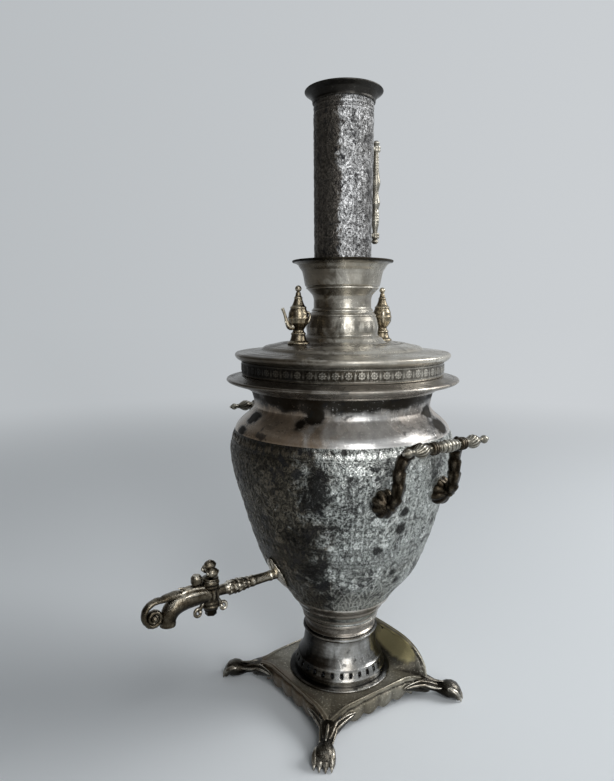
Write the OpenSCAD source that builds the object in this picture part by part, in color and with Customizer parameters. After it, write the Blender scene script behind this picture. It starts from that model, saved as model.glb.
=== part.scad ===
// Charcoal samovar with a lion paw stand, a plug tap, a lift-off lid, crown and chimney.
// The axis of the vessel is Z, the tap points along -Y and the handles lie along +X and -X.
// The origin is on the table, under the axis.

/* [Stand] */
// Height of the base sheet's corners above the table
base_z = 24; // [20:1:34]
// Side of the square base sheet
base_side = 132; // [124:1:150]
// Thickness of the base sheet
base_t = 1.6; // [1:0.1:2.5]
// Rise of the base sheet from its corners to the seat of the pedestal
base_rise = 3; // [2:0.5:8]
// Rise of the middle of each edge above the corners
edge_bow = 4; // [0:0.5:8]
// Extra rise of the bowed rear edge
rear_lip_h = 29; // [0:1:34]
// Height of the apron under the edge
apron_h = 17; // [8:1:19]
// Number of scallops along each side of the apron
scallop_count = 5; // [3:1:9]
// Depth of the scallops
scallop_d = 4; // [1:0.5:6]
// Distance from the axis to the middle of each paw
paw_reach = 126; // [118:1:140]
// Length of a paw
paw_l = 25; // [18:1:32]
// Width of a paw
paw_w = 22; // [16:1:28]
// Height of a paw
paw_h = 17; // [12:1:20]
// Width of a leg where it leaves the corner of the base
leg_w = 20; // [14:1:24]
// Thickness of the ankle
ankle_d = 10; // [8:0.5:13]
// Radius of the worn sole
sole_r = 7; // [4:0.5:9]

/* [Pedestal and stem] */
// Radius of the pedestal's foot flange
pedestal_r = 56; // [52:1:60]
// Thickness of the foot flange
pedestal_flange_t = 2.5; // [1.5:0.5:5]
// Height of the pedestal
pedestal_h = 52; // [40:1:70]
// Radius of the pedestal's waist
waist_r = 38.5; // [37.5:0.5:42]
// Wall of the pedestal
pedestal_t = 1.6; // [1:0.1:3]
// Number of air vents round the pedestal
vent_count = 30; // [12:2:36]
// Radius of an air vent
vent_r = 1.7; // [0.8:0.1:2.4]
// Radius of the bead at the pedestal's top
foot_bead_r = 2.6; // [1.5:0.1:4]
// Height of the stem collar
stem_h = 14; // [8:1:24]

/* [Vessel] */
// Wall of the vessel
wall_t = 1.2; // [0.8:0.1:2]
// Radius of the vessel's bottom
bottom_r = 41; // [40:0.5:44]
// Radius at the bottom of the bowl
cup_r = 60.7; // [55:0.5:66]
// Height of that point above the vessel's bottom
cup_h = 33; // [26:1:42]
// Radius at the tap
tap_wall_r = 83.1; // [78:0.5:88]
// Height from the cup to the tap
tap_h = 30; // [22:1:40]
// Radius of the flank
flank_r = 104.6; // [98:0.5:108]
// Height from the tap to the flank
flank_h = 62; // [50:1:80]
// Widest radius of the vessel
belly_r = 118.6; // [113:0.5:124]
// Height from the flank to the widest part
belly_h = 63; // [50:1:76]
// Radius of the rounded shoulder
shoulder_r = 112.8; // [108:0.5:116]
// Height from the widest part to the shoulder
shoulder_h = 23; // [18:1:30]
// Radius of the neck
neck_r = 93; // [88:0.5:95]
// Height from the shoulder to the neck
neck_h = 23; // [18:1:30]
// Radius of the mouth
mouth_r = 97; // [95.5:0.5:100]
// Height from the neck to the mouth
mouth_h = 23; // [18:1:32]
// Overhang of the rim ring outside the mouth
rim_over = 25; // [20:1:31]
// Thickness of the rim ring
rim_t = 8.5; // [6:0.5:12]

/* [Fire tube] */
// Radius of the fire tube at the grate
fire_r = 36; // [34.5:0.5:37]
// Radius of the fire tube at its top
fire_top_r = 26.2; // [22:0.2:26.6]
// Wall of the fire tube
fire_t = 1.5; // [1:0.1:2]
// Length of the straight part round the grate
fire_box_h = 18; // [12:1:40]
// Height of the straight part at the top
fire_neck_h = 34; // [26:1:40]
// Thickness of the grate
grate_t = 3; // [2:0.5:5]
// Width of a slot in the grate
slot_w = 4; // [2:0.5:6]

/* [Lid] */
// Wall of the lid
lid_t = 1.3; // [1:0.1:2]
// Distance of the lid's upright band outside the mouth
band_over = 9; // [5:0.5:11]
// Height of that band
band_h = 14; // [10:1:20]
// Overhang of the lid's flange outside that band
flange_over = 6.5; // [5:0.5:11]
// Height from the flange to the foot of the collar
dome_h = 18; // [12:1:26]
// Radius of the lid's collar
collar_r = 37; // [34.5:0.5:40]
// Height of the collar
collar_h = 26.5; // [18:0.5:34]
// Radius of the flat top of the collar
collar_top_r = 32; // [31:0.5:34]
// Depth of the skirt that goes into the mouth
skirt_h = 12; // [6:1:20]
// Radius of the steam hole
steam_r = 2.5; // [1.5:0.25:4]

/* [Lid knobs] */
// Distance from the axis to each knob
knob_reach = 56; // [52:0.5:60]
// Height of a knob
knob_h = 58; // [44:1:66]
// Radius of a knob's body
knob_r = 8.6; // [7:0.2:11]
// Radius of the stud under a knob
stud_r = 2.5; // [1.5:0.25:3]

/* [Crown] */
// Wall of the crown
crown_t = 1.3; // [1:0.1:1.6]
// Height of the crown
crown_h = 52; // [46:1:64]
// Radius of the crown's waist
crown_waist_r = 30; // [29.5:0.1:31.5]
// Radius of the fold above the waist
crown_fold_r = 37.5; // [35:0.5:40]
// Radius of the crown's rim
crown_r = 52.5; // [48:0.5:58]

/* [Chimney] */
// Outer radius of the chimney at its bottom
pipe_r = 29; // [28.8:0.1:29.6]
// Outer radius of the chimney at its top
pipe_top_r = 30.5; // [29.8:0.1:33]
// Wall of the chimney
pipe_t = 1.2; // [0.8:0.1:1.4]
// Length of the chimney
pipe_l = 196; // [170:1:230]
// Radius of the flared lip
lip_r = 39.5; // [35:0.5:46]
// Height of the flared lip
lip_h = 12; // [8:1:18]
// Inner radius of the lip's mouth
lip_bore_r = 28.8; // [26:0.1:29]
// Depth of that mouth's straight part
lip_bore_l = 3; // [2:0.5:6]
// Distance from the axis to the chimney's handle
bar_reach = 44; // [41:0.5:52]
// Length of the chimney's handle
bar_l = 106; // [80:1:120]
// Height of the handle's lower end above the chimney's bottom
bar_z = 54; // [46:1:64]
// Radius of the handle's beads
bar_bead_r = 5; // [4:0.25:6.5]
// Radius of the handle's necks
bar_neck_r = 2.6; // [2:0.1:3]

/* [Handles] */
// Distance from the axis to the grips
grip_reach = 150; // [146:1:162]
// Height of the grips above the vessel's bottom
grip_z = 214; // [200:1:226]
// Length of a grip
grip_l = 108; // [100:1:120]
// Radius of a grip's oval beads
grip_bead_r = 6; // [5:0.25:8]
// Radius of a grip's necks
grip_neck_r = 3.6; // [3:0.2:4.6]
// Distance from the middle of the grip to each arm
arm_top_y = 18; // [14:0.5:21]
// Sideways spread of the arms at the vessel
arm_foot_y = 36; // [30:1:46]
// Height of the arms' feet above the vessel's bottom
arm_foot_z = 158; // [150:1:172]
// Distance from the axis to the upright part of an arm
arm_reach = 127; // [125:1:140]
// Dip of an arm below its foot
arm_sag = 6; // [2:1:20]
// Thickness of an arm
arm_d = 9.4; // [7:0.2:11]
// Radius of the boss at an arm's foot
boss_r = 9; // [7:0.5:11]

/* [Tap] */
// Length of the tap's shank from the vessel to the barrel
shank_l = 76; // [64:1:90]
// Radius of the shank at the vessel
shank_r = 4.6; // [4:0.2:5.6]
// Radius of the swelling before the barrel
shank_swell_r = 6.8; // [6:0.2:8]
// Outer radius of the barrel
barrel_r = 9; // [8.5:0.25:11]
// Height of the barrel
barrel_h = 29; // [24:1:36]
// Radius of the plug at the top of the barrel
plug_r = 6.2; // [5:0.1:6.6]
// How much narrower the plug is at the bottom
plug_taper = 1; // [0.4:0.1:1.6]
// Radius of the waterway
water_r = 2.6; // [1.6:0.1:3]
// Outer radius of the spout
spout_r = 9; // [8:0.25:10.5]
// Reach of the spout beyond the barrel
spout_l = 44; // [38:1:56]
// Drop of the spout's mouth below the tap's axis
spout_drop = 19; // [16:1:30]
// Radius of the scroll in front of the spout
scroll_r = 11; // [8:0.5:14]
// Thickness of the scroll's rod
scroll_d = 6; // [3:0.25:6.5]
// Height of the crest on the spout above the tap's axis
crest_h = 22; // [16:1:26]
// Radius of the crest
crest_r = 4.6; // [3:0.2:5.5]
// Length of the spike in front of the crest
spike_l = 14; // [8:1:18]
// Radius of the two curls under the barrel
curl_r = 4.6; // [3:0.2:5.5]
// Height of the key's knob above the barrel
key_h = 18; // [14:1:26]
// Radius of the lobes on the key's knob
lobe_r = 4.4; // [3:0.1:5.5]
// Length of the escutcheon leaf
leaf_l = 38; // [30:1:46]
// Width of the escutcheon leaf
leaf_w = 26; // [22:1:34]
// Thickness of the escutcheon leaf
leaf_t = 2.5; // [1.5:0.25:4]
// Radius of the threaded tail inside the vessel
tail_r = 5; // [4:0.25:6]
// Thickness of the nuts
nut_t = 5; // [3:0.5:8]

/* [Fits] */
// Gap where a lift-off piece rests on its seat
rest_gap = 0.3; // [0.1:0.05:0.6]
// Gap where a casting is soldered to a curved wall
solder_gap = 0.15; // [0.05:0.05:0.4]
// Radial gap of sheet pieces that slip together
slip_gap = 0.05; // [0.02:0.01:0.1]

/* [Hidden] */
$fn = 96;

SILVER = "#8f918c";
DARK_SILVER = "#6d6c66";
NICKEL = "#a39f92";
BRASS = "#9a8350";
IRON = "#4a4744";
LEATHER = "#5a4330";

// Heights
seat_z = base_z + base_rise;
stem_z = seat_z + pedestal_h;
vessel_z = stem_z + stem_h;
cup_z = vessel_z + cup_h;
tap_z = cup_z + tap_h;
flank_z = tap_z + flank_h;
belly_z = flank_z + belly_h;
shoulder_z = belly_z + shoulder_h;
neck_z = shoulder_z + neck_h;
mouth_z = neck_z + mouth_h;
rim_z = mouth_z + slip_gap + rim_t;
lid_z = rim_z + rest_gap;
flange_z = lid_z + band_h;
flange_edge = 6;
dome_z = flange_z + flange_edge + dome_h;
collar_z = dome_z + collar_h;
crown_z = collar_z + rest_gap;
crown_top_z = crown_z + crown_h;
crown_ledge_z = crown_z + crown_h * 0.33;
pipe_z = crown_ledge_z + rest_gap;
pipe_top_z = pipe_z + pipe_l;
fire_top_z = crown_ledge_z + 5;

// Rim, band and flange, each set out from the one before
rim_r = mouth_r + rim_over;
band_r = mouth_r + band_over;
lid_r = band_r + flange_over;

// Half of the base sheet's side, and the flat seat of the pedestal on it
half_side = base_side / 2;
seat_r = pedestal_r + 2;
air_hole_r = waist_r + 5;
stem_bore_r = fire_r - fire_t - 1;

// Key, barrel and spout
barrel_y = -(tap_wall_r + shank_l);
spout_y = barrel_y - spout_l;
barrel_top_z = tap_z + barrel_h / 2;
barrel_low_z = tap_z - barrel_h / 2;
key_stem_r = 3;
key_stem_l = 4;
washer_t = 1.2;

// Smooth curves: r over z through knots of [r, z], flat at both ends
function secant(k, i) = (k[i + 1][0] - k[i][0]) / (k[i + 1][1] - k[i][1]);
function mean_slope(a, b) = a * b <= 0 ? 0 : 2 * a * b / (a + b);
function knot_slope(k, i) = i == 0 || i == len(k) - 1 ? 0 : mean_slope(secant(k, i - 1), secant(k, i));
function span_of(k, z, i = 0) = i >= len(k) - 2 || z < k[i + 1][1] ? i : span_of(k, z, i + 1);
function hermite(a, b, m, n, h, t) =
    a * (1 + 2 * t) * pow(1 - t, 2) + h * m * t * pow(1 - t, 2)
    + b * t * t * (3 - 2 * t) + h * n * t * t * (t - 1);
function curve_r(k, z) =
    let (i = span_of(k, z), h = k[i + 1][1] - k[i][1])
    hermite(k[i][0], k[i + 1][0], knot_slope(k, i), knot_slope(k, i + 1), h, (z - k[i][1]) / h);
function curve_slope(k, z) = (curve_r(k, z + 0.05) - curve_r(k, z - 0.05)) / 0.1;

// Points along such a curve, moved inwards by a wall
function curve_points(k, inset, n) = [
    for (s = [0 : n])
        let (
            low = k[0][1],
            high = k[len(k) - 1][1],
            z = low + (high - low) * s / n,
            slope = s == 0 || s == n ? 0 : curve_slope(k, z),
            d = inset / sqrt(1 + slope * slope)
        )
        [curve_r(k, z) - d, z + d * slope]
];
function reversed(p) = [for (i = [len(p) - 1 : -1 : 0]) p[i]];
function shell_outline(k, wall, n) = concat(curve_points(k, 0, n), reversed(curve_points(k, wall, n)));

// Cubic curve from a to d, pulled towards b and c
function pull(a, b, c, d, t) =
    a * pow(1 - t, 3) + b * 3 * t * pow(1 - t, 2) + c * 3 * t * t * (1 - t) + d * pow(t, 3);

// Rings of points swept along a path: p is a list of points, r a list of radii
function path_way(p, i) =
    let (v = p[min(i + 1, len(p) - 1)] - p[max(i - 1, 0)])
    v / norm(v);
function unit(v) = v / norm(v);
function sweep_ring(c, way, side, r, n) =
    let (u = unit(side - way * (side * way)), w = cross(way, u))
    [for (j = [0 : n - 1]) c + r * (cos(360 * j / n) * u + sin(360 * j / n) * w)];
function sweep_rings(p, r, side, n) = [
    for (i = [0 : len(p) - 1])
        sweep_ring(p[i], path_way(p, i), side, r[i], n)
];

// Closed solid through rings that all have the same number of points
module skin(rings) {
    n = len(rings[0]);
    m = len(rings);
    points = [for (ring = rings) each ring];
    walls = [
        for (i = [0 : m - 2], j = [0 : n - 1])
            let (a = i * n + j, b = i * n + (j + 1) % n)
            each [[a, a + n, b], [b, a + n, b + n]]
    ];
    low_end = [for (j = [1 : n - 2]) [0, j, j + 1]];
    high_end = [for (j = [1 : n - 2]) [(m - 1) * n, (m - 1) * n + j + 1, (m - 1) * n + j]];
    polyhedron(points, concat(low_end, walls, high_end));
}

// Vessel's profile, and solids of its outside and inside
vessel_knots = [
    [bottom_r, vessel_z],
    [cup_r, cup_z],
    [tap_wall_r, tap_z],
    [flank_r, flank_z],
    [belly_r, belly_z],
    [shoulder_r, shoulder_z],
    [neck_r, neck_z],
    [mouth_r, mouth_z]
];
vessel_steps = 32;
function vessel_r(z) = curve_r(vessel_knots, z);
function vessel_tilt(z) = atan(curve_slope(vessel_knots, z));

module vessel_solid(grow) {
    rotate_extrude()
        polygon(concat(
            [[0, vessel_z]],
            curve_points(vessel_knots, -grow, vessel_steps),
            [[0, mouth_z]]
        ));
}

// Points something along -Y
module facing_front() {
    rotate([90, 0, 0])
        children();
}

// Square sheet base: ring s runs from the seat to the edge, at place j round the sheet
notch_h = 2.4;
notch_w = leg_w / 2 * sqrt(2) + 1.5;
notch_u = 1 - notch_w / half_side;
apron_u = notch_u - 0.6 / half_side;
apron_steps = 20;
edge_places = concat(
    [-1, -notch_u],
    [for (i = [0 : apron_steps]) apron_u * (2 * i / apron_steps - 1)],
    [notch_u]
);
side_steps = len(edge_places);
base_steps = 4 * side_steps;
function place_u(j) = edge_places[j % side_steps];
function turn_of(j) = 90 * floor(j / side_steps);
function turned(p, a) = [p[0] * cos(a) - p[1] * sin(a), p[0] * sin(a) + p[1] * cos(a)];
function edge_point(j, half) = turned([half, half * place_u(j)], turn_of(j));
function seat_point(j, r) = let (p = edge_point(j, 1)) p / norm(p) * r;
function rear_rise(j) = turn_of(j) == 90 ? rear_lip_h * sqrt(1 - pow(place_u(j), 6)) : 0;
function edge_z(j) = base_z + edge_bow * (1 - pow(place_u(j), 2)) + rear_rise(j);
function top_point(j, s, drop, inset) =
    let (
        inner = seat_point(j, seat_r),
        p = inner + (edge_point(j, half_side - inset) - inner) * s
    )
    [p[0], p[1], seat_z + (edge_z(j) - seat_z) * pow(s, 1.7) - drop];
function scallop(u) =
    abs(u) > apron_u + 0.001
        ? apron_h - notch_h
        : scallop_d * (1 - abs(cos(90 * scallop_count * (u / apron_u + 1))));
function apron_point(j, inset) =
    concat(edge_point(j, half_side - inset), [base_z - apron_h + scallop(place_u(j))]);
function base_ring(kind, s) = [
    for (j = [0 : base_steps - 1])
        kind == "hole_top" ? concat(seat_point(j, air_hole_r), [seat_z])
        : kind == "hole_low" ? concat(seat_point(j, air_hole_r), [seat_z - base_t])
        : kind == "top" ? top_point(j, s, 0, 0)
        : kind == "under" ? top_point(j, s, base_t, base_t)
        : kind == "apron_out" ? apron_point(j, 0)
        : apron_point(j, base_t)
];

module base_plate() {
    steps = [0.25, 0.5, 0.75, 1];
    rings = concat(
        [base_ring("hole_low", 0), base_ring("hole_top", 0), base_ring("top", 0)],
        [for (s = steps) base_ring("top", s)],
        [base_ring("apron_out", 0), base_ring("apron_in", 0)],
        [for (s = reversed(steps)) base_ring("under", s)],
        [base_ring("under", 0)]
    );
    n = base_steps;
    m = len(rings);
    points = [for (ring = rings) each ring];
    faces = [
        for (i = [0 : m - 1], j = [0 : n - 1])
            let (
                k = (i + 1) % m,
                a = i * n + j,
                b = i * n + (j + 1) % n,
                c = k * n + j,
                d = k * n + (j + 1) % n
            )
            each [[a, c, b], [b, c, d]]
    ];
    color(SILVER)
        polyhedron(points, faces);
}

// Lion paw: a leg that leaves the corner of the base and ends in four toes
toe_count = 4;
paw_sides = 20;
leg_root = half_side * sqrt(2) - 15;
toe_r = paw_w / (2 * toe_count) * 1.5;
paw_tip = paw_reach + paw_l / 2;
corner_r = half_side * sqrt(2);
corner_s = (corner_r - leg_root) / (paw_tip - toe_r - leg_root);
root_t = (leg_root - seat_r) / (corner_r - seat_r);
root_top_z = seat_z - base_rise * pow(root_t, 1.7) - base_t - 2 * solder_gap;
leg_top_z = base_z - notch_h - 2 * solder_gap;
leg_low_z = base_z - apron_h + 4;
sole_z = 0.6;
ankle_s = 0.52;
function leg_half_w(s) = pull(leg_w / 2, leg_w / 2, ankle_d / 2, ankle_d / 2, min(1, s / ankle_s));
function paw_swell(s) = s < ankle_s ? 0 : sin(165 * pow((s - ankle_s) / (1 - ankle_s), 0.75));
function paw_ring(s) =
    let (
        fall = min(1, s / 0.6),
        high = curve_r(leg_top_knots, s) + paw_h * 0.28 * paw_swell(s),
        low = pull(leg_low_z, leg_low_z, 3, sole_z, fall),
        wide = leg_half_w(s) + (paw_w - ankle_d) / 2 * paw_swell(s),
        mid = (high + low) / 2,
        x = leg_root + (paw_tip - toe_r - leg_root) * s
    )
    [
        for (j = [0 : paw_sides - 1])
            let (a = 360 * j / paw_sides)
            [x, wide * cos(a), max(low, mid + (high - mid) * sin(a))]
    ];
leg_top_knots = [
    [root_top_z, 0],
    [leg_top_z, corner_s],
    [paw_h * 0.72, 0.6],
    [paw_h * 0.72, 1]
];

module paw(angle) {
    toe_step = (paw_w - 2 * toe_r) / (toe_count - 1);
    color(NICKEL)
        rotate([0, 0, angle]) {
            skin([for (s = [0, 0.12, 0.24, 0.36, 0.46, 0.55, 0.63, 0.71, 0.8, 0.89, 1]) paw_ring(s)]);
            for (i = [0 : toe_count - 1]) {
                y = (i - (toe_count - 1) / 2) * toe_step;
                translate([paw_tip - toe_r - abs(y) * 0.35, y, toe_r + sole_z])
                    sphere(r = toe_r, $fn = 24);
            }
            translate([paw_reach, 0, 0])
                cylinder(r = sole_r, h = paw_h / 4);
        }
}

module paw_front_right() {
    paw(-45);
}

module paw_rear_right() {
    paw(45);
}

module paw_rear_left() {
    paw(135);
}

module paw_front_left() {
    paw(-135);
}

// Bell shaped pedestal with a ring of air vents and a bead under the stem
pedestal_knots = [
    [pedestal_r - 6, seat_z + pedestal_flange_t],
    [pedestal_r - 8, seat_z + pedestal_h * 0.26],
    [waist_r + 2, seat_z + pedestal_h * 0.6],
    [waist_r, stem_z]
];
vent_z = seat_z + pedestal_h * 0.26;

module pedestal() {
    bead_z = stem_z - foot_bead_r;
    color(DARK_SILVER)
        difference() {
            union() {
                rotate_extrude()
                    polygon(shell_outline(pedestal_knots, pedestal_t, 14));
                rotate_extrude()
                    polygon([
                        [pedestal_r - 6 - pedestal_t, seat_z],
                        [pedestal_r, seat_z],
                        [pedestal_r, seat_z + pedestal_flange_t * 0.7],
                        [pedestal_r - 2, seat_z + pedestal_flange_t],
                        [pedestal_r - 6 - pedestal_t, seat_z + pedestal_flange_t]
                    ]);
                rotate_extrude()
                    difference() {
                        translate([waist_r, bead_z])
                            circle(r = foot_bead_r, $fn = 32);
                        translate([0, bead_z - foot_bead_r])
                            square([waist_r - pedestal_t / 2, 2 * foot_bead_r]);
                    }
            }
            for (i = [0 : vent_count - 1])
                rotate([0, 0, 360 * i / vent_count])
                    translate([waist_r, 0, vent_z])
                        rotate([0, 90, 0])
                            cylinder(r = vent_r, h = pedestal_r - waist_r, $fn = 24);
        }
}

// Turned collar that carries the vessel, its floor and the fire tube
module stem_collar() {
    groove = 1.8;
    color(SILVER)
        rotate_extrude()
            polygon([
                [stem_bore_r, stem_z],
                [waist_r, stem_z],
                [waist_r - groove, stem_z + stem_h * 0.22],
                [waist_r - groove, stem_z + stem_h * 0.62],
                [bottom_r, stem_z + stem_h * 0.8],
                [bottom_r, vessel_z],
                [stem_bore_r, vessel_z]
            ]);
}

// Vessel shell, with the hole for the tap's tail
module vessel() {
    color(SILVER)
        difference() {
            rotate_extrude()
                polygon(shell_outline(vessel_knots, wall_t, vessel_steps));
            translate([0, -tap_wall_r + 3 * tail_r, tap_z])
                facing_front()
                    cylinder(r = tail_r + slip_gap, h = 6 * tail_r);
        }
}

// Ring that closes the water space between the vessel and the fire tube
module vessel_floor() {
    color(SILVER)
        translate([0, 0, vessel_z])
            difference() {
                cylinder(r = bottom_r - wall_t - slip_gap, h = 1.5);
                translate([0, 0, -1])
                    cylinder(r = fire_r + slip_gap, h = 4);
            }
}

// Wide ogee ring soldered round the mouth
module rim_ring() {
    inner_r = mouth_r - wall_t;
    low = mouth_z + slip_gap;
    color(SILVER)
        rotate_extrude()
            polygon([
                [mouth_r + slip_gap, mouth_z - rim_t * 0.8],
                [mouth_r + 2, mouth_z - rim_t * 0.8],
                [mouth_r + 4, mouth_z - rim_t * 0.5],
                [mouth_r + (rim_r - mouth_r) * 0.5, mouth_z - rim_t * 0.1],
                [rim_r - 2, mouth_z + rim_t * 0.2],
                [rim_r, mouth_z + rim_t * 0.4],
                [rim_r - 1, mouth_z + rim_t * 0.62],
                [band_r + 4, rim_z - rim_t * 0.08],
                [band_r + 2, rim_z],
                [inner_r, rim_z],
                [inner_r, low],
                [mouth_r + slip_gap, low]
            ]);
}

// Conical fire tube with a lip that carries the grate
fire_cone_top_z = fire_top_z - fire_neck_h;

module fire_tube() {
    color(IRON)
        rotate_extrude()
            polygon([
                [stem_bore_r, vessel_z],
                [fire_r, vessel_z],
                [fire_r, vessel_z + fire_box_h],
                [fire_top_r, fire_cone_top_z],
                [fire_top_r, fire_top_z],
                [fire_top_r - fire_t, fire_top_z],
                [fire_top_r - fire_t, fire_cone_top_z],
                [fire_r - fire_t, vessel_z + fire_box_h],
                [fire_r - fire_t, vessel_z + fire_t],
                [stem_bore_r, vessel_z + fire_t]
            ]);
}

module grate() {
    grate_r = fire_r - fire_t - rest_gap;
    pitch = 2 * slot_w;
    slots = floor((grate_r - slot_w) / pitch);
    color(IRON)
        translate([0, 0, vessel_z + fire_t])
            difference() {
                cylinder(r = grate_r, h = grate_t);
                for (i = [-slots : slots]) {
                    half_l = sqrt(pow(grate_r - slot_w, 2) - pow(i * pitch, 2));
                    translate([-half_l, i * pitch - slot_w / 2, -1])
                        cube([2 * half_l, slot_w, grate_t + 2]);
                }
            }
}

// Handles: two arms rise from bosses on the vessel and close round the grip
arm_steps = 8;
arm_sides = 10;
grip_height = vessel_z + grip_z;
foot_height = vessel_z + arm_foot_z;
collar_len = 7;

module arm(side) {
    foot_r = vessel_r(foot_height);
    foot_turn = asin(arm_foot_y / foot_r);
    out = [cos(foot_turn), side * sin(foot_turn), 0];
    foot = out * foot_r + [0, 0, foot_height];
    rise = grip_height - foot_height;
    bend = [arm_reach, side * arm_foot_y, foot_height + rise * 0.5];
    top = [grip_reach, side * arm_top_y, grip_height];
    foot_pull = foot + out * (arm_reach - foot[0]) * 0.6 - [0, 0, arm_sag];
    over = side * (arm_foot_y - arm_top_y) * 0.45;
    low_half = [
        for (i = [0 : arm_steps])
            pull(foot, foot_pull, bend - [0, 0, rise * 0.4], bend, i / arm_steps)
    ];
    high_half = [
        for (i = [1 : arm_steps])
            pull(
                bend,
                bend + [0, 0, rise * 0.4],
                top - [(grip_reach - arm_reach) * 0.6, -over, 0],
                top,
                i / arm_steps
            )
    ];
    path = concat(low_half, high_half);
    last = len(path) - 1;
    radii = [for (i = [0 : last]) arm_d / 2 * (0.85 + 0.25 * sin(180 * i / last))];
    color(NICKEL)
        difference() {
            union() {
                skin(sweep_rings(path, radii, [0, 1, 0], arm_sides));
                translate([grip_reach, side * arm_top_y + collar_len / 2, grip_height])
                    facing_front()
                        cylinder(r = grip_neck_r + 2.2, h = collar_len);
                translate(foot)
                    sphere(r = boss_r, $fn = 48);
            }
            vessel_solid(solder_gap);
            grip_form(slip_gap);
        }
}

// Turned grip with an oval bead and a finial at each end
grip_knots = [
    [grip_neck_r + 1.6, 0],
    [grip_neck_r, arm_top_y - collar_len / 2 - 1],
    [grip_neck_r, arm_top_y + collar_len / 2 + 1],
    [grip_bead_r, grip_l * 0.305],
    [grip_neck_r * 0.7, grip_l * 0.405],
    [grip_neck_r * 1.1, grip_l * 0.45],
    [grip_neck_r * 0.4, grip_l / 2]
];

module grip_form(grow) {
    half = curve_points(grip_knots, -grow, 22);
    translate([grip_reach, 0, grip_height])
        facing_front()
            rotate_extrude($fn = 48)
                polygon(concat(
                    [[0, -grip_l / 2]],
                    [for (p = reversed(half)) [p[0], -p[1]]],
                    [for (i = [1 : len(half) - 1]) half[i]],
                    [[0, grip_l / 2]]
                ));
}

module grip() {
    color(NICKEL)
        grip_form(0);
}

module right_front_arm() {
    arm(-1);
}

module right_rear_arm() {
    arm(1);
}

module right_grip() {
    grip();
}

module left_front_arm() {
    rotate([0, 0, 180])
        arm(1);
}

module left_rear_arm() {
    rotate([0, 0, 180])
        arm(-1);
}

module left_grip() {
    rotate([0, 0, 180])
        grip();
}

// Leaf shaped plate between the tap and the vessel, tilted like the wall there
module tap_leaf() {
    tilt = vessel_tilt(tap_z);
    round_r = (leaf_l * leaf_l / leaf_w + leaf_w) / 4;
    color(NICKEL)
        difference() {
            translate([0, -tap_wall_r, tap_z])
                rotate([tilt, 0, 0])
                    facing_front()
                        translate([0, 0, -leaf_w / 4])
                            linear_extrude(leaf_t + leaf_w / 4)
                                intersection() {
                                    translate([round_r - leaf_w / 2, 0])
                                        circle(r = round_r);
                                    translate([leaf_w / 2 - round_r, 0])
                                        circle(r = round_r);
                                }
            vessel_solid(solder_gap);
            translate([0, -tap_wall_r + leaf_l, tap_z])
                facing_front()
                    cylinder(r = tail_r + slip_gap, h = 2 * leaf_l);
        }
}

// Wedge of leather that makes a flat seat for the nut inside the sloping wall
gasket_r = tail_r + 5;
nut_face_y = -(tap_wall_r - wall_t - gasket_r * tan(vessel_tilt(tap_z)) - 3);

module tap_gasket() {
    color(LEATHER)
        difference() {
            intersection() {
                translate([0, nut_face_y, tap_z])
                    facing_front()
                        cylinder(r = gasket_r, h = 3 * gasket_r);
                vessel_solid(-wall_t - solder_gap);
            }
            translate([0, 0, tap_z])
                facing_front()
                    cylinder(r = tail_r + slip_gap, h = tap_wall_r + 3 * gasket_r);
        }
}

module tap_back_nut() {
    color(BRASS)
        translate([0, nut_face_y + nut_t, tap_z])
            facing_front()
                difference() {
                    cylinder(r = gasket_r - 0.5, h = nut_t, $fn = 6);
                    translate([0, 0, -1])
                        cylinder(r = tail_r + slip_gap, h = nut_t + 2);
                }
}

// Tap casting: tail, shank, barrel with its tapered seat, and a spout that turns down
spout_steps = 12;
spout_sides = 16;
spout_start = [0, barrel_y, tap_z];
spout_end = [0, spout_y, tap_z - spout_drop];
function spout_path(t) = pull(
    spout_start,
    spout_start - [0, spout_l * 0.62, -3],
    spout_end + [0, 0, spout_drop * 1.1],
    spout_end,
    t
);
spout_points = [for (i = [0 : spout_steps]) spout_path(i / spout_steps)];
function spout_swell(t) = spout_r * (0.84 + 0.2 * sin(180 * pow(t, 0.8)) - 0.06 * t);
tail_end_y = nut_face_y + nut_t + 2;

module tap_body() {
    shank_end = -barrel_y - barrel_r / 2;
    wall_y = tap_wall_r + leaf_t + slip_gap;
    swell_y = wall_y + (shank_end - wall_y) * 0.62;
    color(NICKEL)
        difference() {
            union() {
                translate([0, 0, tap_z])
                    facing_front()
                        rotate_extrude($fn = 48)
                            polygon([
                                [0, -tail_end_y],
                                [tail_r, -tail_end_y],
                                [tail_r, wall_y + 1],
                                [shank_r, wall_y + 4],
                                [shank_r + 0.6, wall_y + 12],
                                [shank_swell_r, swell_y],
                                [shank_swell_r, swell_y + 8],
                                [shank_r, swell_y + 12],
                                [shank_r, shank_end],
                                [0, shank_end]
                            ]);
                translate([0, barrel_y, 0])
                    rotate_extrude($fn = 64)
                        polygon([
                            [0, barrel_low_z],
                            [barrel_r - 1.5, barrel_low_z],
                            [barrel_r, barrel_low_z + 3],
                            [barrel_r - 0.8, barrel_low_z + 5],
                            [barrel_r - 0.8, barrel_top_z - 5],
                            [barrel_r, barrel_top_z - 3],
                            [barrel_r - 1, barrel_top_z],
                            [0, barrel_top_z]
                        ]);
                skin(sweep_rings(
                    spout_points,
                    [for (i = [0 : spout_steps]) spout_swell(i / spout_steps)],
                    [1, 0, 0],
                    spout_sides
                ));
                tap_crest();
                tap_curl(1);
                tap_curl(-1);
            }
            translate([0, barrel_y, barrel_low_z - 1])
                cylinder(
                    r1 = plug_r - plug_taper * (1 + 1 / barrel_h) + slip_gap,
                    r2 = plug_r + plug_taper / barrel_h + slip_gap,
                    h = barrel_h + 2
                );
            translate([0, tail_end_y + 1, tap_z])
                facing_front()
                    cylinder(r = water_r, h = -barrel_y + tail_end_y);
            spout_bore();
        }
}

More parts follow.
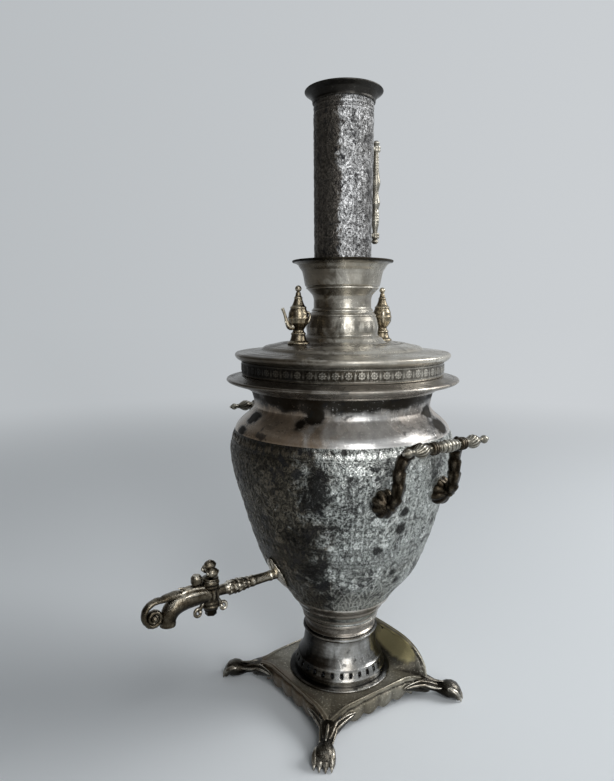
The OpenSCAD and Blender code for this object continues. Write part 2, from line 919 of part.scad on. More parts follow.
// Crest on the spout, clear of the turning key, with a spike that points along the spout
module tap_crest() {
    swing_r = 2.05 * lobe_r;
    crest_y = barrel_y - swing_r - 2 * rest_gap - crest_r;
    root = [0, crest_y - crest_r / 2, tap_z + crest_h * 0.42];
    tip = root - [0, spike_l + crest_r / 2, -crest_h * 0.2];
    translate([0, crest_y, tap_z])
        rotate_extrude($fn = 40)
            polygon([
                [0, 0],
                [crest_r * 0.8, 0],
                [crest_r * 0.8, crest_h * 0.55],
                [crest_r, crest_h * 0.68],
                [crest_r, crest_h * 0.86],
                [crest_r * 0.6, crest_h],
                [0, crest_h]
            ]);
    skin(sweep_rings(
        [
            for (i = [0 : 4])
                pull(root, root - [0, spike_l * 0.4, 1], tip + [0, spike_l * 0.4, -1], tip, i / 4)
        ],
        [for (i = [0 : 4]) crest_r * (0.55 - 0.11 * i)],
        [1, 0, 0],
        8
    ));
}

// Small curl under the barrel, towards the vessel or towards the spout, clear of the key's nut
module tap_curl(side) {
    steps = 12;
    rod_r = curl_r * 0.42;
    reach = plug_r + curl_r + rod_r + rest_gap;
    mid = [0, barrel_y + side * reach, tap_z - barrel_h * 0.58];
    coil = [
        for (i = [0 : steps])
            let (a = 120 - 290 * i / steps, r = curl_r * (1 - 0.5 * i / steps))
            mid + r * [0, side * cos(a), sin(a)]
    ];
    root = [0, barrel_y + side * barrel_r * 0.75, tap_z - barrel_h * 0.22];
    stalk = [for (i = [0 : 2]) root + (coil[0] - root) * i / 3];
    path = concat(stalk, coil);
    skin(sweep_rings(path, [for (i = [0 : len(path) - 1]) rod_r], [1, 0, 0], 8));
}

// Waterway through the spout, which starts in the barrel and leaves by the mouth
module spout_bore() {
    bore_points = concat(spout_points, [spout_end - [0, 0, 4]]);
    bore_r = spout_r * 0.62;
    radii = [for (i = [0 : len(bore_points) - 1]) water_r + (bore_r - water_r) * min(1, i / 6)];
    skin(sweep_rings(bore_points, radii, [1, 0, 0], spout_sides));
}

// Scroll that springs from the top of the spout and curls up before its mouth
scroll_steps = 26;
scroll_from = 62;
scroll_turn = 460;
scroll_sides = 8;
scroll_mid = [0, spout_y - scroll_r * 1.1, tap_z - scroll_d];
function scroll_point(t) =
    let (
        a = scroll_from + scroll_turn * t,
        r = scroll_r * (1 - 0.62 * t) + scroll_d * 0.6 * max(0, 1 - 4 * t)
    )
    scroll_mid + r * [0, cos(a), sin(a)];

module tap_scroll() {
    path = [for (i = [0 : scroll_steps]) scroll_point(i / scroll_steps)];
    radii = [for (i = [0 : scroll_steps]) scroll_d / 2 * (1 - 0.25 * i / scroll_steps)];
    start = spout_path(0.52) + [0, 0, spout_r * 0.8];
    stalk = [for (i = [0 : 4]) pull(start, start - [0, 4, -3], path[0] + [0, 6, 1], path[0], i / 4)];
    rod = concat(stalk, [for (i = [1 : scroll_steps]) path[i]]);
    rod_r = concat([for (i = [0 : 4]) scroll_d / 2], [for (i = [1 : scroll_steps]) radii[i]]);
    color(NICKEL)
        difference() {
            union() {
                skin(sweep_rings(rod, rod_r, [1, 0, 0], scroll_sides));
                translate(scroll_mid)
                    sphere(r = scroll_d * 0.75, $fn = 24);
            }
            skin(sweep_rings(
                concat(spout_points, [spout_end - [0, 0, 6]]),
                [for (i = [0 : spout_steps + 1]) spout_swell(min(1, i / spout_steps)) + solder_gap],
                [1, 0, 0],
                spout_sides
            ));
        }
}

// Key: tapered plug with a cross port, a stem and a knob of three lobes
module tap_key() {
    top = barrel_top_z + rest_gap;
    knob_z = top + key_stem_l;
    thread_r = 2.4;
    low = barrel_low_z - washer_t - nut_t - rest_gap;
    color(NICKEL)
        difference() {
            translate([0, barrel_y, 0]) {
                translate([0, 0, barrel_low_z])
                    cylinder(r1 = plug_r - plug_taper, r2 = plug_r, h = barrel_h);
                translate([0, 0, barrel_top_z])
                    cylinder(r = plug_r - 0.4, h = rest_gap);
                translate([0, 0, low])
                    cylinder(r = thread_r, h = barrel_low_z - low);
                translate([0, 0, top])
                    rotate_extrude($fn = 48)
                        polygon([
                            [0, 0],
                            [barrel_r - 1, 0],
                            [barrel_r - 1, 1.2],
                            [key_stem_r, 2.4],
                            [key_stem_r, key_h * 0.6],
                            [0, key_h * 0.6]
                        ]);
                for (s = [-1, 1])
                    translate([s * lobe_r * 1.05, 0, knob_z + lobe_r * 0.9])
                        sphere(r = lobe_r, $fn = 32);
                translate([0, 0, top + key_h - lobe_r])
                    sphere(r = lobe_r, $fn = 32);
            }
            translate([-2 * plug_r, barrel_y, tap_z])
                rotate([0, 90, 0])
                    cylinder(r = water_r, h = 4 * plug_r);
        }
}

module key_washer() {
    color(BRASS)
        translate([0, barrel_y, barrel_low_z - rest_gap - washer_t])
            difference() {
                cylinder(r = plug_r + 0.6, h = washer_t);
                translate([0, 0, -1])
                    cylinder(r = 2.45, h = washer_t + 2);
            }
}

module key_nut() {
    color(BRASS)
        translate([0, barrel_y, barrel_low_z - rest_gap - washer_t - nut_t])
            difference() {
                cylinder(r = plug_r - 0.6, h = nut_t, $fn = 6);
                translate([0, 0, -1])
                    cylinder(r = 2.45, h = nut_t + 2);
            }
}

// Lid: skirt, upright band, flange, dome and collar, spun from one sheet
flange_t = 2.5;
dome_low_z = flange_z + flange_edge;
step_r = lid_r * 0.76;
dome_out = 0.66;
dome_in = 0.7;
knob_foot_r = knob_r * 1.15;
knob_seat = knob_foot_r + 0.6;

module lid() {
    skirt_r = mouth_r - wall_t - 1;
    hole_r = fire_top_r + 2;
    dome = [
        [band_r + 1, flange_z + 1],
        [lid_r - 1, dome_low_z - flange_t],
        [lid_r, dome_low_z - flange_t / 2],
        [lid_r - 1, dome_low_z],
        [step_r, dome_low_z + dome_h * 0.2],
        [step_r - 4, dome_low_z + dome_h * 0.42],
        [step_r - 10, dome_low_z + dome_h * 0.56],
        [knob_reach + knob_seat, dome_low_z + dome_h * dome_out],
        [knob_reach - knob_seat, dome_low_z + dome_h * dome_in],
        [collar_r + 4, dome_z],
        [collar_r, dome_z + collar_h * 0.12],
        [collar_r + 0.6, dome_z + collar_h * 0.4],
        [collar_r - 0.5, dome_z + collar_h * 0.68],
        [collar_top_r + 2, dome_z + collar_h * 0.9],
        [collar_top_r, collar_z]
    ];
    inside = [
        [hole_r, collar_z - lid_t],
        [collar_top_r, collar_z - lid_t * 1.3],
        [collar_r - 0.5 - lid_t, dome_z + collar_h * 0.66],
        [collar_r + 0.6 - lid_t, dome_z + collar_h * 0.4],
        [collar_r - lid_t, dome_z + collar_h * 0.1],
        [collar_r + 4 - lid_t, dome_z - lid_t],
        [knob_reach - knob_seat, dome_low_z + dome_h * dome_in - lid_t],
        [knob_reach + knob_seat, dome_low_z + dome_h * dome_out - lid_t],
        [step_r - 10, dome_low_z + dome_h * 0.56 - lid_t],
        [step_r - 4 - lid_t / 2, dome_low_z + dome_h * 0.42 - lid_t],
        [step_r - lid_t / 2, dome_low_z + dome_h * 0.2 - lid_t],
        [band_r - lid_t, dome_low_z - lid_t * 1.5],
        [band_r - lid_t, lid_z + lid_t],
        [skirt_r - lid_t, lid_z + lid_t],
        [skirt_r - lid_t, lid_z - skirt_h]
    ];
    color(NICKEL)
        difference() {
            rotate_extrude()
                polygon(concat(
                    [[skirt_r, lid_z - skirt_h], [skirt_r, lid_z]],
                    [[band_r - 1, lid_z], [band_r, lid_z + 2]],
                    dome,
                    [[hole_r, collar_z]],
                    inside
                ));
            for (y = [-knob_reach, knob_reach])
                translate([0, y, lid_z])
                    cylinder(r = stud_r + slip_gap, h = collar_z - lid_z);
            translate([knob_reach, 0, lid_z])
                cylinder(r = steam_r, h = collar_z - lid_z);
        }
}

// Knob shaped like a small jug, with a spout and an ear, on a stud through the lid
function lid_top(r) =
    let (t = (knob_reach + knob_seat - r) / (2 * knob_seat))
    dome_low_z + dome_h * (dome_out + (dome_in - dome_out) * t);
knob_z = lid_top(knob_reach - knob_foot_r) + slip_gap;
ball_r = knob_r * 0.38;
knob_top_z = knob_h - 1.7 * ball_r;
knob_knots = [
    [knob_foot_r, 0],
    [knob_r * 0.72, knob_h * 0.16],
    [knob_r * 0.55, knob_h * 0.24],
    [knob_r, knob_h * 0.38],
    [knob_r * 0.98, knob_h * 0.52],
    [knob_r * 0.5, knob_h * 0.7],
    [knob_r * 0.22, knob_top_z - 1],
    [knob_r * 0.2, knob_top_z]
];

module knob(angle) {
    ear_r = knob_r * 0.55;
    beak = [
        for (i = [0 : 6])
            pull(
                [0, -knob_r * 0.7, knob_h * 0.3],
                [0, -knob_r * 1.5, knob_h * 0.24],
                [0, -knob_r * 1.5, knob_h * 0.46],
                [0, -knob_r * 2.05, knob_h * 0.6],
                i / 6
            )
    ];
    color(NICKEL)
        rotate([0, 0, angle])
            translate([0, -knob_reach, knob_z]) {
                rotate_extrude($fn = 48)
                    polygon(concat([[0, 0]], curve_points(knob_knots, 0, 20), [[0, knob_top_z]]));
                translate([0, 0, knob_h - ball_r])
                    sphere(r = ball_r, $fn = 24);
                skin(sweep_rings(beak, [for (i = [0 : 6]) knob_r * (0.34 - 0.035 * i)], [1, 0, 0], 8));
                translate([0, knob_r * 0.95, knob_h * 0.44])
                    rotate([90, 0, 90])
                        rotate_extrude($fn = 32)
                            translate([ear_r, 0])
                                circle(r = knob_r * 0.11, $fn = 16);
                translate([0, 0, -knob_seat_drop])
                    cylinder(r = stud_r, h = knob_seat_drop + 1);
            }
}
nut_top_z = lid_top(knob_reach + knob_seat) - lid_t - rest_gap;
knob_seat_drop = knob_z - nut_top_z + nut_t;

module knob_nut(angle) {
    color(BRASS)
        rotate([0, 0, angle])
            translate([0, -knob_reach, nut_top_z - nut_t])
                difference() {
                    cylinder(r = 2 * stud_r, h = nut_t, $fn = 6);
                    translate([0, 0, -1])
                        cylinder(r = stud_r + slip_gap, h = nut_t + 2);
                }
}

module front_knob() {
    knob(0);
}

module rear_knob() {
    knob(180);
}

module front_knob_nut() {
    knob_nut(0);
}

module rear_knob_nut() {
    knob_nut(180);
}

// Crown: waisted ring with a flared rim, and a ledge inside that carries the chimney
module crown() {
    bore = crown_waist_r - crown_t - 0.7;
    ledge_r = pipe_r + rest_gap;
    fold_z = crown_z + crown_h * 0.45;
    color(NICKEL)
        rotate_extrude()
            polygon([
                [bore, crown_z],
                [collar_top_r, crown_z],
                [collar_top_r, crown_z + 1.5],
                [crown_waist_r, crown_z + 3.5],
                [crown_waist_r, crown_z + crown_h * 0.24],
                [ledge_r + crown_t, crown_ledge_z],
                [crown_fold_r, fold_z],
                [crown_fold_r + 1.6, fold_z + 3],
                [crown_fold_r + 3.4, crown_z + crown_h * 0.7],
                [crown_fold_r + 6.6, crown_z + crown_h * 0.84],
                [crown_r - 3, crown_top_z - 2.6],
                [crown_r, crown_top_z - 1.6],
                [crown_r, crown_top_z],
                [crown_r - 2, crown_top_z],
                [crown_r - 4.5, crown_top_z - 2],
                [crown_fold_r + 6.4 - crown_t, crown_z + crown_h * 0.85],
                [crown_fold_r + 3.3 - crown_t, crown_z + crown_h * 0.71],
                [crown_fold_r + 1.5 - crown_t, fold_z + 3.4],
                [crown_fold_r - crown_t * 1.3, fold_z + 0.4],
                [ledge_r, crown_ledge_z + 0.6],
                [ledge_r, crown_ledge_z],
                [bore, crown_ledge_z]
            ]);
}

// Chimney: tapered pipe with a trumpet lip and a turned handle on two brackets
lip_bore_z = pipe_top_z + slip_gap;
lip_top_z = lip_bore_z + lip_bore_l + lip_h * 0.16;

module chimney_pipe() {
    color(SILVER)
        rotate_extrude()
            polygon([
                [pipe_r - pipe_t, pipe_z],
                [pipe_r, pipe_z],
                [pipe_top_r, pipe_top_z],
                [pipe_top_r - pipe_t, pipe_top_z]
            ]);
}

module chimney_lip() {
    inner = pipe_top_r + slip_gap;
    low = pipe_top_z - lip_h * 0.6;
    color(DARK_SILVER)
        rotate_extrude()
            polygon([
                [inner, low],
                [inner + 1, low],
                [inner + 1.6, low + lip_h * 0.3],
                [inner + (lip_r - inner) * 0.45, lip_top_z - lip_h * 0.38],
                [lip_r - 1, lip_top_z - 2.2],
                [lip_r, lip_top_z - 1],
                [lip_r - 0.8, lip_top_z],
                [inner + (lip_r - inner) * 0.5, lip_top_z - 1.4],
                [lip_bore_r, lip_bore_z + lip_bore_l],
                [lip_bore_r, lip_bore_z],
                [inner, lip_bore_z]
            ]);
}

bar_low_z = pipe_z + bar_z;
bracket_low_z = bar_low_z + bar_l * 0.08;
bracket_high_z = bar_low_z + bar_l * 0.92;
eye_h = 6;
bar_knots = [
    [bar_neck_r * 0.8, 0],
    [bar_neck_r * 1.5, bar_l * 0.02],
    [bar_neck_r, bar_l * 0.08 - eye_h / 2],
    [bar_neck_r, bar_l * 0.08 + eye_h / 2 + 1],
    [bar_bead_r * 0.8, bar_l * 0.2],
    [bar_bead_r * 0.7, bar_l * 0.34],
    [bar_bead_r, bar_l * 0.4],
    [bar_neck_r * 1.2, bar_l * 0.5],
    [bar_bead_r, bar_l * 0.6],
    [bar_bead_r * 0.6, bar_l * 0.72],
    [bar_neck_r, bar_l * 0.92 - eye_h / 2 - 1],
    [bar_neck_r, bar_l * 0.92 + eye_h / 2],
    [bar_neck_r * 1.5, bar_l * 0.98],
    [bar_neck_r * 0.8, bar_l]
];

module chimney_handle() {
    color(NICKEL)
        translate([0, bar_reach, bar_low_z])
            rotate_extrude($fn = 40)
                polygon(concat([[0, 0]], curve_points(bar_knots, 0, 44), [[0, bar_l]]));
}

module bracket(z) {
    color(NICKEL)
        difference() {
            union() {
                translate([0, bar_reach, z - eye_h / 2])
                    cylinder(r = bar_neck_r + 2.2, h = eye_h, $fn = 40);
                translate([0, 0, z])
                    rotate([-90, 0, 0])
                        cylinder(r = eye_h * 0.42, h = bar_reach - bar_neck_r - 1, $fn = 32);
                translate([0, 0, z])
                    rotate([-90, 0, 0])
                        cylinder(r = eye_h * 0.8, h = pipe_top_r + 2, $fn = 32);
            }
            translate([0, bar_reach, z - eye_h])
                cylinder(r = bar_neck_r + slip_gap, h = 2 * eye_h, $fn = 40);
            translate([0, 0, pipe_z])
                cylinder(r1 = pipe_r + solder_gap, r2 = pipe_top_r + solder_gap, h = pipe_l);
        }
}

module lower_bracket() {
    bracket(bracket_low_z);
}

module upper_bracket() {
    bracket(bracket_high_z);
}

base_plate();
paw_front_right();
paw_rear_right();
paw_rear_left();
paw_front_left();
pedestal();
stem_collar();
vessel();
vessel_floor();
rim_ring();
fire_tube();
grate();
right_front_arm();
right_rear_arm();
right_grip();
left_front_arm();
left_rear_arm();
left_grip();
tap_leaf();
tap_gasket();
tap_back_nut();
tap_body();
tap_scroll();
tap_key();
key_washer();
key_nut();
lid();
front_knob();
rear_knob();
front_knob_nut();
rear_knob_nut();
crown();
chimney_pipe();
chimney_lip();
chimney_handle();
lower_bracket();
upper_bracket();
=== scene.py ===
# Charcoal samovar in chased silver plate, with a plug tap, lion paws, crown and chimney
import math

import bmesh
import bpy
import numpy as np
from mathutils import Matrix, Vector, noise as lumpy


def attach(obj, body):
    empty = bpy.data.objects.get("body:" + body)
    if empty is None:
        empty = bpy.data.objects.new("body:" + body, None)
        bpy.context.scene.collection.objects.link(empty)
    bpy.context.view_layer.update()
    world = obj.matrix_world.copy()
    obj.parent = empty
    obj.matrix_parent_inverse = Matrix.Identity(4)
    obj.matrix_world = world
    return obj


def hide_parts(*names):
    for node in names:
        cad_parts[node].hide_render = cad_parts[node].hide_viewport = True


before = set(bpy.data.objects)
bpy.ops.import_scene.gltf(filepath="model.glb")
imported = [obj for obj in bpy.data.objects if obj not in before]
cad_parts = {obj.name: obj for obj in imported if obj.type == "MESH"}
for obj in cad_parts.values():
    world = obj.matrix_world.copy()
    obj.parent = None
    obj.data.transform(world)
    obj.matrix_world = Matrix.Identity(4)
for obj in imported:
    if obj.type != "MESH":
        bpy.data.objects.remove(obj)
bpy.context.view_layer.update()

scene = bpy.context.scene
scene.view_settings.view_transform = "Standard"

MM = 0.001
FULL_TURN = 2 * math.pi
UPWARD = math.pi / 2
ALONG_X, ALONG_Y, ALONG_Z = Vector((1, 0, 0)), Vector((0, 1, 0)), Vector((0, 0, 1))

# Camera at the photograph's angle
VIEW_TURN, VIEW_TILT = math.radians(54.6), math.radians(82.26)
camera_data = bpy.data.cameras.new("camera")
camera_data.sensor_fit = "HORIZONTAL"
camera_data.sensor_width = 36
camera_data.lens = 36
camera = bpy.data.objects.new("camera", camera_data)
camera.location = (0.5084, -0.4067, 0.428)
camera.rotation_euler = (VIEW_TILT, 0, VIEW_TURN)
scene.collection.objects.link(camera)
scene.camera = camera


# Node tools
def node(tree, kind, values=None, **settings):
    made = tree.nodes.new(kind)
    for name, value in settings.items():
        setattr(made, name, value)
    for name, value in (values or {}).items():
        if isinstance(value, bpy.types.NodeSocket):
            tree.links.new(value, made.inputs[name])
        else:
            made.inputs[name].default_value = value
    return made


def math_node(tree, operation, a, b=0.0, c=0.0):
    return node(tree, "ShaderNodeMath", {0: a, 1: b, 2: c}, operation=operation).outputs[0]


def times(tree, a, b):
    return math_node(tree, "MULTIPLY", a, b)


def plus(tree, a, b):
    return math_node(tree, "ADD", a, b)


# Sways a value by others: each is taken about a level and given a share
def swayed(tree, value, *sways):
    for varied, level, share in sways:
        value = plus(tree, value, times(tree, math_node(tree, "SUBTRACT", varied, level), share))
    return value


def vector_node(tree, operation, a, b=(0, 0, 0)):
    made = node(tree, "ShaderNodeVectorMath", {0: a, 1: b}, operation=operation)
    return made.outputs["Value" if operation in ("LENGTH", "DOT_PRODUCT") else "Vector"]


def ramp(tree, factor, stops):
    made = node(tree, "ShaderNodeValToRGB", {"Fac": factor})
    bar = made.color_ramp.elements
    while len(bar) < len(stops):
        bar.new(0.5)
    for element, (place, colour) in zip(bar, stops):
        element.position = place
        element.color = (*colour, 1) if len(colour) == 3 else colour
    return made.outputs["Color"]


def band(tree, value, low, high, out_low=0.0, out_high=1.0):
    return node(
        tree,
        "ShaderNodeMapRange",
        {"Value": value, "From Min": low, "From Max": high, "To Min": out_low, "To Max": out_high},
        interpolation_type="SMOOTHSTEP",
    ).outputs["Result"]


def blend(tree, factor, a, b, way="MIX"):
    made = node(tree, "ShaderNodeMix", {0: factor}, data_type="RGBA", blend_type=way)
    for socket, value in ((made.inputs[6], a), (made.inputs[7], b)):
        if isinstance(value, bpy.types.NodeSocket):
            tree.links.new(value, socket)
        else:
            socket.default_value = (*value, 1)
    return made.outputs[2]


def noise(tree, place, scale, detail=4.0, rough=0.6, warp=0.0):
    return node(
        tree,
        "ShaderNodeTexNoise",
        {"Vector": place, "Scale": scale, "Detail": detail, "Roughness": rough, "Distortion": warp},
    ).outputs["Fac"]


def new_group(name, *outputs):
    tree = bpy.data.node_groups.new(name, "ShaderNodeTree")
    for socket, kind in (("Place", "NodeSocketVector"), ("Size", "NodeSocketFloat")):
        tree.interface.new_socket(socket, in_out="INPUT", socket_type=kind)
    for socket in outputs:
        tree.interface.new_socket(socket, in_out="OUTPUT", socket_type="NodeSocketFloat")
    return tree, node(tree, "NodeGroupInput").outputs, node(tree, "NodeGroupOutput").inputs


# Tarnish and side shade: smoky clouds, sharp black spots and pale worn specks, and painted shade that darkens the tap
# side, away from the lights, broken by noise
SIDE_SHADE_WAY = (-0.139, -0.99, 0.0)


def make_tarnish_and_shade_group():
    tree, given, out = new_group("tarnish_and_shade", "Cloud", "Patches", "Spots", "Specks", "SideShade")
    scaled = node(tree, "ShaderNodeVectorMath", {0: given["Place"], 3: given["Size"]}, operation="SCALE")
    place = scaled.outputs[0]
    cloud = noise(tree, place, 16.0, 6.0, 0.66, 0.6)
    patches = noise(tree, place, 48.0, 5.0, 0.7, 0.8)
    spots = noise(tree, place, 55.0, 3.0, 0.5, 0.2)
    gathered = times(tree, spots, band(tree, cloud, 0.3, 0.6, 0.86, 1.06))
    specks = noise(tree, place, 420.0, 3.0, 0.7)
    out_way = vector_node(tree, "NORMALIZE", vector_node(tree, "MULTIPLY", given["Place"], (1, 1, 0)))
    # Painted shade: how far a point faces the tap side, broken by noise patches
    shaded_side = swayed(tree, vector_node(tree, "DOT_PRODUCT", out_way, SIDE_SHADE_WAY), (patches, 0.5, 1.1))
    for name, value, low, high in (
        ("Cloud", cloud, 0.36, 0.66), ("Patches", patches, 0.5, 0.64), ("Spots", gathered, 0.63, 0.68),
        ("Specks", specks, 0.56, 0.72), ("SideShade", shaded_side, 0.42, 0.86),
    ):
        tree.links.new(band(tree, value, low, high), out[name])
    return tree


# Punched ground: the height of small round dents
def make_stipple_group():
    tree, given, out = new_group("punched_ground", "Height")
    dents = node(
        tree,
        "ShaderNodeTexVoronoi",
        {"Vector": given["Place"], "Scale": given["Size"], "Randomness": 0.85},
        feature="F1",
    ).outputs["Distance"]
    tree.links.new(band(tree, dents, 0.12, 0.6), out["Height"])
    return tree


# Turning marks: fine rings that follow the radius and the height of a spun piece
def make_turning_group():
    tree, given, out = new_group("turning_marks", "Rings", "Streaks")
    parts = node(tree, "ShaderNodeSeparateXYZ", {0: given["Place"]}).outputs
    flat = node(tree, "ShaderNodeCombineXYZ", {0: parts[0], 1: parts[1]}).outputs[0]
    radius = vector_node(tree, "LENGTH", flat)
    around = node(tree, "ShaderNodeCombineXYZ", {0: radius, 2: parts[2]}).outputs[0]
    tree.links.new(noise(tree, around, given["Size"], 3.0, 0.7), out["Rings"])
    down = vector_node(tree, "MULTIPLY", given["Place"], (1.0, 1.0, 0.12))
    tree.links.new(noise(tree, down, 130.0, 4.0, 0.62), out["Streaks"])
    return tree


TARNISH_AND_SHADE, STIPPLE, TURNING = make_tarnish_and_shade_group(), make_stipple_group(), make_turning_group()


def placed(tree, group, place, size):
    return node(tree, "ShaderNodeGroup", {"Place": place, "Size": size}, node_tree=group).outputs


def start_material(name, metallic=1.0):
    made = bpy.data.materials.new(name)
    made.use_nodes = True
    tree = made.node_tree
    tree.nodes.clear()
    metal = node(tree, "ShaderNodeBsdfPrincipled", {"Metallic": metallic})
    node(tree, "ShaderNodeOutputMaterial", {"Surface": metal.outputs[0]})
    place = node(tree, "ShaderNodeTexCoord").outputs["Object"]
    wear_and_shading = node(tree, "ShaderNodeAttribute", attribute_name="wear_and_shading").outputs["Fac"]
    return made, tree, metal, place, wear_and_shading


def dress(tree, metal, colour, rough):
    tree.links.new(colour, metal.inputs["Base Color"])
    tree.links.new(rough, metal.inputs["Roughness"])


def bump(tree, metal, height, strength, distance):
    made = node(tree, "ShaderNodeBump", {"Height": height, "Strength": strength, "Distance": distance})
    tree.links.new(made.outputs[0], metal.inputs["Normal"])


# Colour of the painted shade on the tap side
SIDE_SHADE_TINT = (0.15, 0.122, 0.09)


# Chased silver: dark punched ground, pale worn relief, smoky clouds and black patches over both
def chased_silver(name, ground, middle, crest, side_shade_hold, size=1.0, rough=(0.42, 0.22), side_shade_edge=(0.0, 1.0)):
    made, tree, metal, place, wear_and_shading = start_material(name, 0.88)
    tarnish_and_shade = placed(tree, TARNISH_AND_SHADE, place, size)
    dents = placed(tree, STIPPLE, place, 620.0)["Height"]
    # Glints: noise that paints small glints into the colour, a painted highlight, and also bumps the surface
    glints = noise(tree, place, 300.0, 3.0, 0.65)
    raised = swayed(tree, wear_and_shading, (dents, 0.5, 0.3), (tarnish_and_shade["Specks"], 0.4, 0.25), (glints, 0.5, 1.0))
    colour = ramp(tree, raised, [(0.1, ground), (0.5, middle), (0.92, crest)])
    held = times(tree, tarnish_and_shade["Cloud"], band(tree, raised, 1.0, 0.3, 0.2, 0.5))
    colour = blend(tree, held, colour, (0.2, 0.18, 0.15), "MULTIPLY")
    # Painted shade: the tap side is darkened
    side_shade = band(tree, tarnish_and_shade["SideShade"], *side_shade_edge, 0.0, side_shade_hold)
    colour = blend(tree, side_shade, colour, SIDE_SHADE_TINT, "MULTIPLY")
    black = times(tree, tarnish_and_shade["Patches"], band(tree, raised, 0.95, 0.45, 0.1, 0.85))
    colour = blend(tree, black, colour, (0.025, 0.024, 0.024))
    colour = blend(tree, times(tree, tarnish_and_shade["Spots"], 0.85), colour, (0.02, 0.02, 0.021))
    dull = plus(tree, band(tree, raised, 0.1, 0.9, *rough), times(tree, tarnish_and_shade["Cloud"], 0.1))
    dress(tree, metal, colour, dull)
    height = times(tree, dents, band(tree, wear_and_shading, 0.9, 0.3, 0.35, 1.0))
    height = plus(tree, height, times(tree, glints, 1.6))
    bump(tree, metal, plus(tree, height, times(tree, tarnish_and_shade["Specks"], 0.4)), 0.7, 0.0006)
    return made


# Spun silver or nickel: turning marks, bright rubbed edges, dark hollows and spots
def spun_metal(
    name, dark, plain, bright, size=1.0, rough=(0.2, 0.4), spot_hold=0.5, cloud_hold=0.55, side_shade_hold=0.6,
    shine=0.75, cloud_tint=(0.3, 0.27, 0.23), side_shade_tint=SIDE_SHADE_TINT, pitted=0.16
):
    made, tree, metal, place, wear_and_shading = start_material(name)
    tarnish_and_shade = placed(tree, TARNISH_AND_SHADE, place, size)
    turning = placed(tree, TURNING, place, 1500.0)
    marks = [(turning["Streaks"], 0.5, 0.3), (turning["Rings"], 0.5, 0.22), (tarnish_and_shade["Specks"], 0.35, pitted)]
    colour = ramp(tree, swayed(tree, wear_and_shading, *marks), [(0.12, dark), (0.5, plain), (0.9, bright)])
    colour = blend(tree, times(tree, tarnish_and_shade["Cloud"], cloud_hold), colour, cloud_tint, "MULTIPLY")
    # Painted shade: the tap side is darkened
    colour = blend(tree, times(tree, tarnish_and_shade["SideShade"], side_shade_hold), colour, side_shade_tint, "MULTIPLY")
    colour = blend(tree, times(tree, tarnish_and_shade["Spots"], spot_hold), colour, (0.02, 0.02, 0.02))
    worn = plus(tree, tarnish_and_shade["Cloud"], times(tree, turning["Streaks"], 0.5))
    dull = band(tree, wear_and_shading, 0.28, 0.03, 0.0, 0.35)
    dress(tree, metal, colour, plus(tree, band(tree, worn, 0.1, 1.3, *rough), dull))
    tree.links.new(band(tree, wear_and_shading, 0.03, 0.3, 1.0, shine), metal.inputs["Metallic"])
    bump(tree, metal, plus(tree, turning["Rings"], tarnish_and_shade["Specks"]), 0.22, 0.0003)
    return made


# Cast nickel silver: rubbed crests over brown hollows, with a grainy sand-cast skin
def cast_metal(name, dark, plain, bright, size=1.0, rough=(0.24, 0.44), cloud_hold=0.6):
    made, tree, metal, place, wear_and_shading = start_material(name)
    tarnish_and_shade = placed(tree, TARNISH_AND_SHADE, place, size)
    grain = noise(tree, place, 900.0, 3.0, 0.6)
    colour = ramp(tree, swayed(tree, wear_and_shading, (grain, 0.5, 0.5)), [(0.15, dark), (0.5, plain), (0.82, bright)])
    colour = blend(tree, times(tree, tarnish_and_shade["Cloud"], cloud_hold), colour, (0.22, 0.185, 0.14), "MULTIPLY")
    dress(tree, metal, colour, band(tree, plus(tree, tarnish_and_shade["Cloud"], grain), 0.3, 1.5, *rough))
    lumps = noise(tree, place, 240.0, 2.0, 0.5)
    skin = plus(tree, plus(tree, grain, tarnish_and_shade["Specks"]), times(tree, lumps, 1.6))
    bump(tree, metal, skin, 0.3, 0.0005)
    return made


VESSEL_SILVER = chased_silver(
    "chased_silver", (0.045, 0.045, 0.043), (0.44, 0.46, 0.435), (0.9, 0.91, 0.87), side_shade_hold=0.97)
PIPE_SILVER = chased_silver(
    "chased_pipe_silver", (0.06, 0.058, 0.055), (0.31, 0.31, 0.31), (0.66, 0.66, 0.66), side_shade_hold=0.9, size=1.3,
    rough=(0.52, 0.36), side_shade_edge=(0.2, 0.6))
SHOULDER_SILVER = spun_metal(
    "shoulder_silver", (0.03, 0.027, 0.022), (0.64, 0.63, 0.61), (0.88, 0.87, 0.85), size=0.9, rough=(0.2, 0.36),
    spot_hold=0.8, cloud_hold=0.6, side_shade_hold=0.75, shine=0.66, cloud_tint=(0.66, 0.53, 0.41),
    side_shade_tint=(0.46, 0.33, 0.2), pitted=0.26)
RIM_SILVER = spun_metal(
    "rim_silver", (0.02, 0.017, 0.014), (0.35, 0.32, 0.28), (0.74, 0.71, 0.65), size=1.4, rough=(0.2, 0.38),
    spot_hold=0.6, cloud_hold=0.6, side_shade_hold=0.85)
LID_NICKEL = spun_metal(
    "lid_nickel", (0.045, 0.038, 0.027), (0.6, 0.57, 0.5), (0.9, 0.87, 0.8), size=1.1, rough=(0.2, 0.38),
    spot_hold=0.3, cloud_hold=0.6, side_shade_hold=0.92)
DARK_SILVER = spun_metal(
    "dark_silver", (0.02, 0.019, 0.017), (0.58, 0.575, 0.555), (0.92, 0.92, 0.9), size=1.2, rough=(0.08, 0.24),
    spot_hold=0.7, cloud_hold=0.8, side_shade_hold=0.9, shine=0.95)
LIP_SILVER = spun_metal(
    "lip_silver", (0.008, 0.0075, 0.007), (0.036, 0.033, 0.029), (0.22, 0.21, 0.19), size=1.4, rough=(0.3, 0.5),
    shine=0.9)
CAST_NICKEL = cast_metal(
    "cast_nickel", (0.014, 0.011, 0.007), (0.17, 0.146, 0.108), (0.86, 0.8, 0.68), 4.0, (0.1, 0.28), 0.9)
